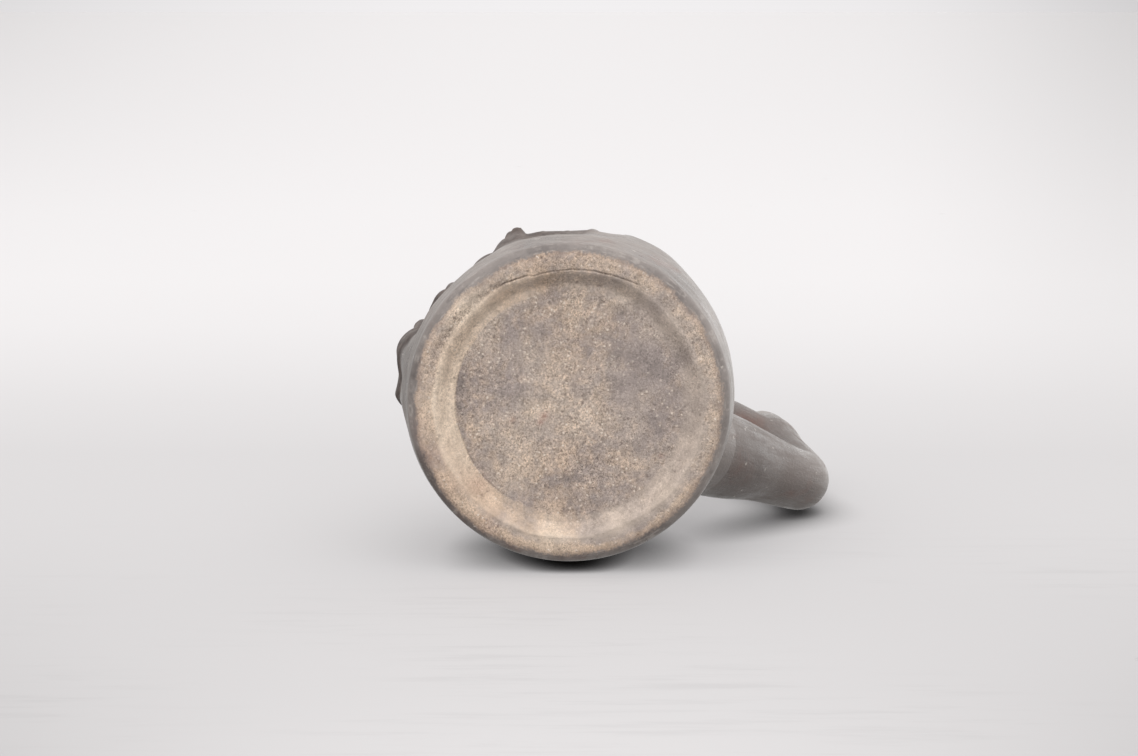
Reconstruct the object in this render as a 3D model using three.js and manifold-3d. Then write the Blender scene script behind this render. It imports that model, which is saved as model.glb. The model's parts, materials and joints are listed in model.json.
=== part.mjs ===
// Stirrup spout bottle in dark burnished earthenware, standing on its foot.
// Millimetres, +Z up. The relief looks along -Y and the stirrup reaches out along +Y.
// Every piece is one that the potter makes by itself and lutes on with slip:
// a base slab in a foot ring, two mould-pressed halves of the chamber, two stirrup arms,
// a spout, and the clay worked on to the front half as a crab.
import * as THREE from "three";
import { mergeVertices } from "three/addons/utils/BufferGeometryUtils.js";
import Module from "manifold-3d";

const wasm = await Module();
wasm.setup();

// Chamber
const bodyRadius = 63.8; // at the widest level
const bellyHeight = 34; // height of the widest level
const chamberHeight = 110;
const domeFullness = 2.3; // 2 would be a plain ellipse, more is squarer
const flankDraw = 4.4; // how far the flank draws in down to the table
const flankCurve = 2.2;
const wall = 6;
const slipGap = 0.3; // room for the slip between two luted pieces

// Foot and base
const footCornerWidth = 6.6; // worn round outside of the foot
const footCornerHeight = 5;
const footFlatWidth = 4.5; // what the bottle stands on
const footHeight = 12;
const baseRecess = 4; // how far the middle of the base stays off the table
const baseSlopeWidth = 5; // from the foot's flat in to the sunk middle
const baseThickness = 7;

// Join of the two mould halves, a low swelling down each flank
const seamPlane = 7; // behind the axis
const seamSwell = 1.1;
const seamSpread = 11; // degrees

// Sunk ground of the relief on the front half
const groundDepth = 4.9;
const groundSpan = 79; // degrees to each side of the front
const groundSpanSoft = 6; // degrees
const groundLow = 19;
const groundSoft = 7;

// Stirrup and spout
const tubeRadius = 12.8;
const upperTubeRadius = 12.4;
const tubeWall = 4.5;
const armRootFlare = 6; // how much wider an arm is where it is luted on
const lowerFlareReach = 0.6; // share of the lower arm that flares
const upperFlareReach = 0.5;
const joinSwell = 1.5; // how much wider the neck is where the upper arm meets it
const lowerRootHeight = 58; // where the lower arm leaves the back
const upperRootReach = 30; // how far behind the axis the upper arm leaves the dome
const elbowOut = 45.2; // middle of the elbow, beyond the chamber's widest radius
const elbowRise = 46.5; // middle of the elbow, above the lower arm's root
const archRise = 40; // end of the upper arm, above the top of the dome
const spoutInset = 10; // axis of the spout, inside the elbow
const seatRise = 14; // flat seat of the spout, above the upper arm's end
const spoutLength = 24;
const spoutWall = 3.6;
const lipRadius = 10.4;

// Bends of the stirrup, as shares of the way out and up between two of its marks
const armBends = [[0.17, 0.14], [0.49, 0.5], [0.78, 0.74]]; // lower root to elbow
const neckBends = [[0.2, 0.26], [0.66, 0.53], [0.97, 0.8]]; // elbow to spout seat
const archBends = [[0.09, 0.15], [0.29, 0.57], [0.52, 0.83], [0.75, 0.97]]; // dome to arch's end

// Relief: azimuth in degrees from the front, heights and sizes in millimetres
const rimHeight = 74;
const rimSpan = 86;
const rimHalfWidth = 3.6;
const rimProud = 2.4;
const legKneeHeight = 43;
const legTaper = 0.62; // width of a leg's tip, as a share of its width at the top
const rightLegs = [
  { azimuth: 41.5, proud: 6.8, halfWidth: 6.6 },
  { azimuth: 52, proud: 4.1, halfWidth: 6.2 },
  { azimuth: 61.5, proud: 3.2, halfWidth: 6 },
  { azimuth: 71.5, proud: 3.8, halfWidth: 7 },
];
const leftLegs = [
  { azimuth: -45, proud: 4.8, halfWidth: 6 },
  { azimuth: -55, proud: 4.2, halfWidth: 5.8 },
  { azimuth: -64.5, proud: 3.8, halfWidth: 5.6 },
  { azimuth: -74, proud: 3.6, halfWidth: 5.4 },
];
const bigClaw = { azimuth: -12.6, proud: 9.9, halfWidth: 12.4, length: 43, side: -1 };
const smallClaw = { azimuth: 8, proud: 4.9, halfWidth: 7.6, length: 34, side: 1 };
const bigArm = { azimuth: -29, proud: 9.3, halfWidth: 8.8, side: -1 };
const smallArm = { azimuth: 28.5, proud: 2.6, halfWidth: 7.4, side: 1 };
const clawRise = 4; // lower end of a claw, above the ground's lower edge
const eyeAzimuth = 10;
const eyeRise = 14; // above the rim
const eyeRadius = 4.4;

// How finely round things are cut
const chamberFacets = 46;
const flankRings = 6;
const domeRings = 13;
const tubeFacets = 16;
const tubeRings = 17;
const reliefFacets = 10;
const shortestEdge = 0.05;
const flattestFace = 0.002;

const degrees = Math.PI / 180;

// What follows from the sizes above
const domeHeight = chamberHeight - bellyHeight;
const groundHigh = rimHeight - 2;
const legTop = rimHeight - 3;
const legTipHeight = groundLow + 1;
const elbowReach = bodyRadius + elbowOut;
const elbowHeight = lowerRootHeight + elbowRise;
const archHeight = chamberHeight + archRise;
const spoutReach = elbowReach - spoutInset;
const spoutSeat = archHeight + seatRise;
const spoutTop = spoutSeat + spoutLength;

// A step that eases from 0 to 1 between two values
function ease(from, to, value) {
  const t = THREE.MathUtils.clamp((value - from) / (to - from), 0, 1);
  return t * t * (3 - 2 * t);
}

// Horizontal direction at an azimuth, counted from the front towards +X
function outward(azimuth) {
  return new THREE.Vector3(Math.sin(azimuth * degrees), -Math.cos(azimuth * degrees), 0);
}

// Radius of the plain turned form, without relief, drawn in by an inset
function turnedRadius(height, inset = 0) {
  if (height < bellyHeight) {
    const drop = (bellyHeight - height) / bellyHeight;
    return bodyRadius - inset - flankDraw * drop ** flankCurve;
  }
  const rise = Math.min((height - bellyHeight) / (domeHeight - inset), 1);
  return (bodyRadius - inset) * (1 - rise ** domeFullness) ** (1 / domeFullness);
}

// What the mould adds to the turned form and takes from it
function mouldedOffset(azimuth, height) {
  const seamAzimuth = 90 + Math.asin(seamPlane / bodyRadius) / degrees;
  const fromSeam = (Math.abs(azimuth) - seamAzimuth) / seamSpread;
  const upDown = ease(footHeight, bellyHeight, height) * (1 - ease(bellyHeight, chamberHeight, height));
  const swell = seamSwell * Math.exp(-fromSeam * fromSeam) * upDown;
  const across = 1 - ease(groundSpan - groundSpanSoft, groundSpan + groundSpanSoft, Math.abs(azimuth));
  const low = ease(groundLow - groundSoft, groundLow + groundSoft, height);
  const high = 1 - ease(groundHigh - groundSoft, groundHigh + groundSoft, height);
  return swell - groundDepth * across * low * high;
}

function surfaceRadius(azimuth, height, inset = 0) {
  return turnedRadius(height, inset) + mouldedOffset(azimuth, height);
}

function surfacePoint(azimuth, height, proud = 0) {
  const point = outward(azimuth).multiplyScalar(surfaceRadius(azimuth, height) + proud);
  return point.setZ(height);
}

// Outward normal of the turned form, which the relief stands on
function surfaceNormal(azimuth, height) {
  const fall = turnedRadius(height - 1) - turnedRadius(height + 1);
  return outward(azimuth).multiplyScalar(2).setZ(fall).normalize();
}

// A closed skin over a row of rings with equal counts of points, with a fan over each end
function loft(rings) {
  const count = rings[0].length;
  const corners = rings.flat();
  const faces = [];
  for (let i = 0; i + 1 < rings.length; i++) {
    for (let j = 0; j < count; j++) {
      const a = i * count + j;
      const b = i * count + ((j + 1) % count);
      faces.push(a, b, b + count, a, b + count, a + count);
    }
  }
  for (const [ring, turned] of [[0, true], [rings.length - 1, false]]) {
    const middle = new THREE.Vector3();
    rings[ring].forEach((corner) => middle.addScaledVector(corner, 1 / count));
    corners.push(middle);
    for (let j = 0; j < count; j++) {
      const a = ring * count + j;
      const b = ring * count + ((j + 1) % count);
      faces.push(corners.length - 1, ...(turned ? [b, a] : [a, b]));
    }
  }
  const geometry = new THREE.BufferGeometry().setFromPoints(corners);
  geometry.setIndex(faces);
  return geometry;
}

// three.js geometry to a solid that can be cut, turned the right way out
function solid(geometry) {
  const bare = geometry.clone();
  bare.deleteAttribute("normal");
  bare.deleteAttribute("uv");
  const merged = mergeVertices(bare, 1e-4);
  const vertProperties = Float32Array.from(merged.getAttribute("position").array);
  const corners = Uint32Array.from(merged.getIndex().array);
  const asIs = new wasm.Manifold(new wasm.Mesh({ numProp: 3, vertProperties, triVerts: corners }));
  if (asIs.volume() > 0) return asIs;
  const triVerts = corners.reverse();
  return new wasm.Manifold(new wasm.Mesh({ numProp: 3, vertProperties, triVerts }));
}

// A cut can leave crumbs beside the piece, and only the piece is kept
function largest(form) {
  const parts = form.decompose();
  return parts.reduce((best, part) => (part.volume() > best.volume() ? part : best));
}

// Corners that a cut leaves closer than any real edge become one, and what folds flat there goes
function withoutShortEdges({ vertProperties, triVerts }) {
  const corner = (i) => new THREE.Vector3().fromArray(vertProperties, 3 * i);
  const joined = Array.from({ length: vertProperties.length / 3 }, (unused, i) => i);
  const kept = (i) => (joined[i] === i ? i : kept(joined[i]));
  for (let i = 0; i < triVerts.length; i++) {
    const next = i % 3 === 2 ? i - 2 : i + 1;
    const [a, b] = [kept(triVerts[i]), kept(triVerts[next])];
    if (a !== b && corner(a).distanceTo(corner(b)) < shortestEdge) joined[b] = a;
  }
  const faces = new Map();
  for (let i = 0; i < triVerts.length; i += 3) {
    const face = Array.from(triVerts.subarray(i, i + 3), kept);
    if (new Set(face).size < 3) continue;
    const key = face.toSorted((a, b) => a - b).join();
    if (!faces.delete(key)) faces.set(key, face);
  }
  return [...faces.values()];
}

// A face with its three corners in a line swaps its long edge with the face beyond it
function withoutNeedles(faces, vertProperties) {
  const corner = (i) => new THREE.Vector3().fromArray(vertProperties, 3 * i);
  const long = (a, b) => corner(a).distanceTo(corner(b));
  const owner = new Map();
  const edge = (face, k) => `${face[k]},${face[(k + 1) % 3]}`;
  const claim = (at) => [0, 1, 2].forEach((k) => owner.set(edge(faces[at], k), at));
  faces.forEach((unused, at) => claim(at));
  faces.forEach((face, at) => {
    const turns = [0, 1, 2].map((k) => [face[k], face[(k + 1) % 3], face[(k + 2) % 3]]);
    const [a, b, c] = turns.reduce((best, turn) => (long(...turn) > long(...best) ? turn : best));
    const area = new THREE.Triangle(corner(a), corner(b), corner(c)).getArea();
    const beyond = owner.get(`${b},${a}`);
    if ((2 * area) / long(a, b) > flattestFace || beyond === undefined) return;
    const d = faces[beyond].find((each) => each !== a && each !== b);
    if (owner.has(`${c},${d}`) || owner.has(`${d},${c}`)) return;
    owner.delete(`${a},${b}`);
    owner.delete(`${b},${a}`);
    faces[at] = [a, d, c];
    faces[beyond] = [b, c, d];
    claim(at);
    claim(beyond);
  });
  return faces;
}

function piece(name, form, material) {
  const mesh = largest(form).getMesh();
  const geometry = new THREE.BufferGeometry();
  geometry.setAttribute("position", new THREE.BufferAttribute(Float32Array.from(mesh.vertProperties), 3));
  geometry.setIndex(withoutNeedles(withoutShortEdges(mesh), mesh.vertProperties).flat());
  geometry.computeVertexNormals();
  const made = new THREE.Mesh(geometry, material);
  made.name = name;
  return made;
}

// A round form turned about the vertical axis from a profile of [radius, height] points
function turned(profile, facets = chamberFacets) {
  const points = profile.map(([radius, height]) => new THREE.Vector2(radius, height));
  const lathe = new THREE.LatheGeometry(points, facets);
  lathe.rotateX(Math.PI / 2);
  return solid(lathe);
}

// The chamber as one full body, from a floor level up, inset or grown all over
function chamberBody(inset, floor) {
  const levels = [];
  for (let i = 0; i < flankRings; i++) {
    levels.push(THREE.MathUtils.lerp(floor, bellyHeight, i / flankRings));
  }
  for (let i = 0; i <= domeRings; i++) {
    const turn = (i / domeRings) * 0.985 * (Math.PI / 2);
    levels.push(bellyHeight + (domeHeight - inset) * Math.sin(turn) ** (2 / domeFullness));
  }
  return solid(loft(levels.map((height) => {
    const ring = [];
    for (let j = 0; j < chamberFacets; j++) {
      const azimuth = -180 + (360 * j) / chamberFacets;
      const radius = surfaceRadius(azimuth, height, inset);
      ring.push(outward(azimuth).multiplyScalar(radius).setZ(height));
    }
    return ring;
  })));
}

// A round tube along a curve in the plane of the stirrup, its radius a function of the way along
function tube(curve, radiusAt) {
  const steps = tubeRings;
  const rings = [];
  const aside = new THREE.Vector3(1, 0, 0);
  for (let i = 0; i <= steps; i++) {
    const centre = curve.getPointAt(i / steps);
    const across = new THREE.Vector3().crossVectors(curve.getTangentAt(i / steps), aside);
    const radius = radiusAt(i / steps);
    rings.push(Array.from({ length: tubeFacets }, (unused, j) => {
      const turn = (2 * Math.PI * j) / tubeFacets;
      const corner = centre.clone().addScaledVector(aside, radius * Math.cos(turn));
      return corner.addScaledVector(across, radius * Math.sin(turn));
    }));
  }
  return solid(loft(rings));
}

// A strip of clay laid on the chamber along a route of [azimuth, height] points.
// Its section is oval, and its lower half is cut away later by the chamber under it.
function strip({ route, halfWidth, proud, steps = 11 }, grow = 0) {
  const spots = route.map(([azimuth, height]) => new THREE.Vector3(azimuth, height, 0));
  const path = new THREE.CatmullRomCurve3(spots);
  const rings = [];
  for (let i = 0; i <= steps; i++) {
    const t = THREE.MathUtils.lerp(0.004, 0.996, i / steps);
    const [here, ahead] = [t - 0.004, t + 0.004].map((at) => {
      const spot = path.getPoint(at);
      return surfacePoint(spot.x, spot.y);
    });
    const spot = path.getPoint(t);
    const normal = surfaceNormal(spot.x, spot.y);
    const along = ahead.clone().sub(here).normalize();
    const across = new THREE.Vector3().crossVectors(along, normal).normalize();
    const round = Math.sqrt(1 - Math.abs(2 * t - 1) ** 3);
    const wide = halfWidth(t) * round + grow;
    const high = proud(t) * round + grow;
    rings.push(Array.from({ length: reliefFacets }, (unused, j) => {
      const turn = (2 * Math.PI * j) / reliefFacets;
      const corner = surfacePoint(spot.x, spot.y);
      corner.addScaledVector(across, wide * Math.cos(turn));
      return corner.addScaledVector(normal, high * Math.sin(turn));
    }));
  }
  return solid(loft(rings));
}

// A hump of the given height about one place on a strip, over an even part
function hump(even, top, place, spread) {
  return (t) => even + (top - even) * Math.exp(-(((t - place) / spread) ** 2));
}

function clay(color, roughness) {
  return new THREE.MeshStandardMaterial({ color, roughness, metalness: 0 });
}

const burnished = () => clay(0x6b625e, 0.42);
const worn = () => clay(0xa8937f, 0.85);
const matt = () => clay(0x6a5a52, 0.8);

// Foot ring: flat to stand on, a worn round corner outside, upright inside where the base sits
const footFlatOuter = turnedRadius(footCornerHeight) - footCornerWidth;
const footFlatInner = footFlatOuter - footFlatWidth;
const footProfile = [[footFlatInner, 0], [footFlatOuter, 0]];
const cornerSteps = 5;
for (let i = 1; i <= cornerSteps; i++) {
  const turn = (i / cornerSteps) * (Math.PI / 2);
  const radius = footFlatOuter + footCornerWidth * Math.sin(turn);
  footProfile.push([radius, footCornerHeight * (1 - Math.cos(turn))]);
}
footProfile.push([turnedRadius((footCornerHeight + footHeight) / 2), (footCornerHeight + footHeight) / 2]);
footProfile.push([turnedRadius(footHeight), footHeight], [footFlatInner, footHeight], [footFlatInner, 0]);
const footRing = turned(footProfile);

// Base slab, pressed up inside the ring, with a soft slope from its sunk flat to the ring
const baseRim = footFlatInner - slipGap;
const baseFlatRadius = footFlatInner - baseSlopeWidth;
const baseTop = baseRecess + baseThickness;
const slopeSteps = 4;
const baseProfile = [[0, baseRecess]];
for (let i = 0; i <= slopeSteps; i++) {
  const along = i / slopeSteps;
  const radius = THREE.MathUtils.lerp(baseFlatRadius, baseRim, along);
  baseProfile.push([radius, THREE.MathUtils.lerp(baseRecess, slipGap, ease(0, 1, along))]);
}
baseProfile.push([baseRim, baseTop], [0, baseTop]);
const baseSlab = turned(baseProfile);

// A line in the plane of the stirrup, from inside its root through the bends between its marks
function stirrupLine(root, marks, bends) {
  const points = [root];
  marks.slice(1).forEach((mark, i) => {
    const from = marks[i];
    for (const [out, up] of [...bends[i], [1, 1]]) {
      const reach = THREE.MathUtils.lerp(from[0], mark[0], out);
      points.push(new THREE.Vector3(0, reach, THREE.MathUtils.lerp(from[1], mark[1], up)));
    }
  });
  return new THREE.CatmullRomCurve3(points);
}

// Stirrup: the lower arm slopes out from the back and bends up at the elbow into the neck,
// and the upper arm springs from the dome and arches over to the neck
const lowerRoot = surfaceRadius(180, lowerRootHeight);
const lowerCurve = stirrupLine(
  new THREE.Vector3(0, lowerRoot - 2 * wall, lowerRootHeight - 2 * wall),
  [[lowerRoot, lowerRootHeight], [elbowReach, elbowHeight], [spoutReach, spoutSeat]],
  [armBends, neckBends],
);
const upperRootShare = (1 - (upperRootReach / bodyRadius) ** domeFullness) ** (1 / domeFullness);
const upperRoot = bellyHeight + domeHeight * upperRootShare;
const upperCurve = stirrupLine(
  new THREE.Vector3(0, upperRootReach - 0.5 * wall, upperRoot - 1.6 * wall),
  [[upperRootReach, upperRoot], [spoutReach, archHeight]],
  [archBends],
);
const joinPlace = 1 - seatRise / lowerCurve.getLength(); // share of the lower arm up to the join
const joinSpread = upperTubeRadius / lowerCurve.getLength();
const lowerFlare = (t) => armRootFlare * (1 - ease(0, lowerFlareReach, t));
const lowerRadius = (t) => tubeRadius + lowerFlare(t) + hump(0, joinSwell, joinPlace, joinSpread)(t);
const lowerArmSolid = tube(lowerCurve, lowerRadius);
const lowerArmGrown = tube(lowerCurve, (t) => lowerRadius(t) + slipGap);
const lowerBore = tube(lowerCurve, () => tubeRadius - tubeWall);
const upperFlare = (t) => armRootFlare * (1 - ease(0, upperFlareReach, t));
const upperArmSolid = tube(upperCurve, (t) => upperTubeRadius + upperFlare(t));
const upperBore = tube(upperCurve, () => upperTubeRadius - tubeWall);

const grownBody = chamberBody(-slipGap, 0);

// The spout stands on a flat cut across the top of the lower arm
const seatHalf = 2 * tubeRadius;
const aboveSeat = new THREE.BoxGeometry(2 * seatHalf, 2 * seatHalf, seatHalf);
aboveSeat.translate(0, spoutReach, spoutSeat + seatHalf / 2 - slipGap);
const lowerArmTube = lowerArmSolid.subtract(lowerBore).subtract(upperBore);
const lowerArm = lowerArmTube.subtract(grownBody).subtract(solid(aboveSeat));
const upperArm = upperArmSolid.subtract(grownBody).subtract(lowerArmGrown).subtract(upperBore);

// Spout: a tube that narrows a little up to its rounded lip
const seatRadius = lowerRadius(1);
const spoutProfile = [[tubeRadius - tubeWall, spoutSeat], [seatRadius, spoutSeat]];
const lipSteps = 4;
const lipEdge = spoutWall / 2;
for (let i = 0; i <= lipSteps; i++) {
  const turn = (i / lipSteps) * Math.PI;
  const radius = lipRadius - lipEdge + lipEdge * Math.cos(turn);
  spoutProfile.push([radius, spoutTop - lipEdge + lipEdge * Math.sin(turn)]);
}
spoutProfile.push([tubeRadius - tubeWall, spoutSeat]);
const spout = turned(spoutProfile, tubeFacets + 6).translate(0, spoutReach, 0);

// Chamber: pressed in a mould of two halves, and pierced where the arms come in
const halfSize = 2 * bodyRadius;
const frontBox = new THREE.BoxGeometry(2 * halfSize, halfSize, 2 * chamberHeight);
frontBox.translate(0, seamPlane - slipGap / 2 - halfSize / 2, chamberHeight);
const backBox = new THREE.BoxGeometry(2 * halfSize, halfSize, 2 * chamberHeight);
backBox.translate(0, seamPlane + slipGap / 2 + halfSize / 2, chamberHeight);
const shellFloor = footHeight + slipGap;
const shell = chamberBody(0, shellFloor).subtract(chamberBody(wall, shellFloor - wall));
const pierced = shell.subtract(lowerBore).subtract(upperBore);
const frontHalf = pierced.intersect(solid(frontBox));
const backHalf = pierced.intersect(solid(backBox));

// Relief strips, in the order in which they are laid: each is cut by those under it
const rim = {
  route: Array.from({ length: 9 }, (unused, i) => [rimSpan * (i / 4 - 1), rimHeight]),
  halfWidth: () => rimHalfWidth,
  proud: () => rimProud,
  steps: 22,
};

function leg({ azimuth, proud, halfWidth }) {
  const side = Math.sign(azimuth);
  return {
    route: [
      [azimuth - 5 * side, legTop],
      [azimuth - 1 * side, (legTop + legKneeHeight) / 2 + 2],
      [azimuth + 0.5 * side, legKneeHeight],
      [azimuth - 1.5 * side, (legKneeHeight + legTipHeight) / 2],
      [azimuth - 6 * side, legTipHeight],
    ],
    halfWidth: (t) => THREE.MathUtils.lerp(1, legTaper, t) * halfWidth,
    proud: hump(0.55 * proud, proud, 0.52, 0.2),
  };
}

// A claw is a swollen palm with a fixed finger and a moving finger, closed to a crescent
function claw({ azimuth, proud, halfWidth, length, side }, grow = 0) {
  const low = groundLow + clawRise;
  const high = low + length;
  const spread = halfWidth / bodyRadius / degrees;
  const palm = strip({
    route: [
      [azimuth + 0.35 * spread * side, low],
      [azimuth, low + 0.3 * (high - low)],
      [azimuth - 0.1 * spread * side, low + 0.7 * (high - low)],
    ],
    halfWidth: () => 0.86 * halfWidth,
    proud: hump(0.5 * proud, proud, 0.45, 0.4),
  }, grow);
  const outerFinger = strip({
    route: [
      [azimuth + 0.45 * spread * side, low + 0.38 * (high - low)],
      [azimuth + 0.5 * spread * side, low + 0.72 * (high - low)],
      [azimuth - 0.05 * spread * side, high],
    ],
    halfWidth: (t) => THREE.MathUtils.lerp(0.5, 0.26, t) * halfWidth,
    proud: (t) => THREE.MathUtils.lerp(0.85, 0.5, t) * proud,
  }, grow);
  const innerFinger = strip({
    route: [
      [azimuth - 0.5 * spread * side, low + 0.34 * (high - low)],
      [azimuth - 0.75 * spread * side, low + 0.6 * (high - low)],
      [azimuth - 0.7 * spread * side, low + 0.86 * (high - low)],
    ],
    halfWidth: (t) => THREE.MathUtils.lerp(0.42, 0.24, t) * halfWidth,
    proud: (t) => THREE.MathUtils.lerp(0.75, 0.4, t) * proud,
  }, grow);
  return palm.add(outerFinger).add(innerFinger);
}

// The claw's arm comes down from under the rim, bends at a sharp elbow and runs to the palm
function clawArm({ azimuth, proud, halfWidth, side }) {
  return {
    route: [
      [azimuth + 8 * side, legTop],
      [azimuth + 3 * side, 0.55 * legTop + 0.45 * legKneeHeight],
      [azimuth, legKneeHeight - 4],
      [azimuth - 6 * side, legKneeHeight - 14],
    ],
    halfWidth: (t) => THREE.MathUtils.lerp(0.8, 1, t) * halfWidth,
    proud: hump(0.5 * proud, proud, 0.66, 0.22),
  };
}

const laid = [];
const relief = [];

// Lays a form on the chamber, cut clear of the body and of what already lies there
function lay(name, form, grown, material) {
  let cut = form.subtract(grownBody);
  for (const under of laid) cut = cut.subtract(under);
  laid.push(grown);
  relief.push(piece(name, cut, material));
}

lay("carapace_rim", strip(rim), strip(rim, slipGap), burnished());
lay("claw_left", claw(bigClaw), claw(bigClaw, slipGap), burnished());
lay("claw_right", claw(smallClaw), claw(smallClaw, slipGap), burnished());
lay("claw_arm_left", strip(clawArm(bigArm)), strip(clawArm(bigArm), slipGap), burnished());
lay("claw_arm_right", strip(clawArm(smallArm)), strip(clawArm(smallArm), slipGap), burnished());
for (const [side, legs] of [["left", leftLegs], ["right", rightLegs]]) {
  legs.forEach((each, i) => {
    lay(`leg_${side}_${i + 1}`, strip(leg(each)), strip(leg(each), slipGap), matt());
  });
}
for (const [name, side] of [["eye_left", -1], ["eye_right", 1]]) {
  const ball = new THREE.SphereGeometry(eyeRadius, 12, 8);
  const seat = surfacePoint(eyeAzimuth * side, rimHeight + eyeRise, eyeRadius * 0.35);
  ball.translate(seat.x, seat.y, seat.z);
  lay(name, solid(ball), solid(ball), burnished());
}

const bottle = new THREE.Group();
bottle.add(
  piece("base_slab", baseSlab, worn()),
  piece("foot_ring", footRing, worn()),
  piece("chamber_front_half", frontHalf, burnished()),
  piece("chamber_back_half", backHalf, burnished()),
  piece("stirrup_lower_arm", lowerArm, burnished()),
  piece("stirrup_upper_arm", upperArm, burnished()),
  piece("spout", spout, burnished()),
  ...relief,
);

// The origin is on the table, under the middle of the whole outline
const outline = new THREE.Box3().setFromObject(bottle).getCenter(new THREE.Vector3());
bottle.position.set(0, -outline.y, 0);

export default bottle;
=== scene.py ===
# %% [markdown]
# A stirrup spout bottle: a squat chamber of dark burnished clay, a hollow loop at its back that
# carries an upright spout, and a crab modelled low on its front. It was pressed in a mould, luted
# together with slip, rubbed to a dull shine with a pebble and fired in smoke, so no joint shows.
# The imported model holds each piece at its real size, and this lesson dresses it.

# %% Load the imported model
import json
import math
import bpy
import bmesh
import numpy as np
from mathutils import Matrix, Vector, noise

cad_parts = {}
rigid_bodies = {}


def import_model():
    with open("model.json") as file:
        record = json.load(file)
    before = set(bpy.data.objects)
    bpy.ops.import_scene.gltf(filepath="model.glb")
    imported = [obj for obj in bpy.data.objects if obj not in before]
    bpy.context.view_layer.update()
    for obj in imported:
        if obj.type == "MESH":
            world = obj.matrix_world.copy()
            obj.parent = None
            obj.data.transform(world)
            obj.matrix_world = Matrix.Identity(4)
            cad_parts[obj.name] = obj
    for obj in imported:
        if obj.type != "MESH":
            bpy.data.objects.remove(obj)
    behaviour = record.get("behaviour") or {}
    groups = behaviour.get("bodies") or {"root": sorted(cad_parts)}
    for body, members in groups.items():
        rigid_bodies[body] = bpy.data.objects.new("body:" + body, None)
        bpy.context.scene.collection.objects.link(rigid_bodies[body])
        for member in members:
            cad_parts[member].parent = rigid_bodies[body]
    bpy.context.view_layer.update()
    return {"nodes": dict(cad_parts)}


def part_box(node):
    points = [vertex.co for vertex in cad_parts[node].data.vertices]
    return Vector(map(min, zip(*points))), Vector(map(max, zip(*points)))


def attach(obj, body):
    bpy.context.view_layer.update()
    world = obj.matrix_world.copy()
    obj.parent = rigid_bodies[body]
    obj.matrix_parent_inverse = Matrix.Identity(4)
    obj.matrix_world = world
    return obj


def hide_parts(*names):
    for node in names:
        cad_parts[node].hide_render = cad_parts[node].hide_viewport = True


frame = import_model()
MM = 0.001
nodes = sorted(frame["nodes"])
base_low, base_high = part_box("base_slab")
AXIS = np.array([0.5 * (base_low.x + base_high.x), 0.5 * (base_low.y + base_high.y), 0.0]) / MM
print("nodes:", len(nodes), "chamber axis at y (mm):", round(float(AXIS[1]), 2))

# %% [markdown]
# All shapes are worked out in millimetres from the chamber's own axis, as a potter's template is
# drawn, and are moved to the frame and turned into metres when their mesh is made. The sizes are
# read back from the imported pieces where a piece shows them, so the two stay together.

# %% Driving sizes
BELLY_HEIGHT = 34.0
DOME_FULLNESS = 2.3
FLANK_DRAW = 4.4
FLANK_CURVE = 2.2
FOOT_CORNER_WIDTH = 6.6
FOOT_CORNER_HEIGHT = 5.0
FOOT_FLAT_WIDTH = 4.5
BASE_RECESS = 4.0
BASE_SLOPE_WIDTH = 5.0
SEAM_PLANE = 7.0
SEAM_SWELL = 1.1
SEAM_SPREAD = 11.0
SEAM_FOOT = 12.0
GROUND_DEPTH = 4.9
GROUND_SPAN = 79.0
GROUND_SPAN_SOFT = 6.0
GROUND_LOW = 19.0
GROUND_SOFT = 7.0
RIM_HEIGHT = 74.0
GROUND_HIGH = RIM_HEIGHT - 2.0
BODY_RADIUS = 63.8
CHAMBER_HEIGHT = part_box("chamber_back_half")[1].z / MM
DOME_HEIGHT = CHAMBER_HEIGHT - BELLY_HEIGHT
SPOUT_LOW, SPOUT_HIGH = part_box("spout")
SPOUT_REACH = 0.5 * (SPOUT_LOW.y + SPOUT_HIGH.y) / MM - AXIS[1]
SPOUT_SEAT = SPOUT_LOW.z / MM
SPOUT_TOP = SPOUT_HIGH.z / MM
print("spout's seat, top and reach (mm):", *np.round((SPOUT_SEAT, SPOUT_TOP, SPOUT_REACH), 1))

# %% [markdown]
# The camera stands where the photographer stood: the bottle lies on its side and shows its base.
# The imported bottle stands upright, so here the camera lies on its side instead. Its place was
# found from the base's outline, the far side of the belly and the direction of the stirrup.

# %% Camera
PHOTO_WIDTH, PHOTO_HEIGHT = 1138, 756
FOCAL_PIXELS = 2281
CAMERA_AT = Vector((131.1, -67.9, -837.1))
CAMERA_FORWARD = Vector((-0.1437, 0.0744, 0.9868)).normalized()
TABLE_UP = Vector((0.888, -0.460, 0.0)).normalized()
CAMERA_RIGHT = CAMERA_FORWARD.cross(TABLE_UP).normalized()
CAMERA_UP = CAMERA_RIGHT.cross(CAMERA_FORWARD)


def placed(name, data):
    """An object with the given data, linked to the scene."""
    made = bpy.data.objects.new(name, data)
    bpy.context.scene.collection.objects.link(made)
    return made


camera_data = bpy.data.cameras.new("camera")
camera_data.sensor_width = 36.0
camera_data.lens = FOCAL_PIXELS / PHOTO_WIDTH * camera_data.sensor_width
camera_data.clip_end = 200.0
camera = placed("camera", camera_data)
turn = Matrix((CAMERA_RIGHT, CAMERA_UP, -CAMERA_FORWARD)).transposed().to_4x4()
camera.matrix_world = Matrix.Translation((CAMERA_AT + Vector(AXIS)) * MM) @ turn
bpy.context.scene.camera = camera
print("camera at", [round(v, 3) for v in camera.location])


# %% [markdown]
# Four small curves shape nearly everything here: a smooth rise, a smooth fall, a plateau with
# soft edges, and a bell.

# %% Curves
def ease(low, high, value):
    """0 up to low and 1 from high on, with a smooth rise between them."""
    t = np.clip((value - low) / (high - low), 0.0, 1.0)
    return t * t * (3.0 - 2.0 * t)


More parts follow.
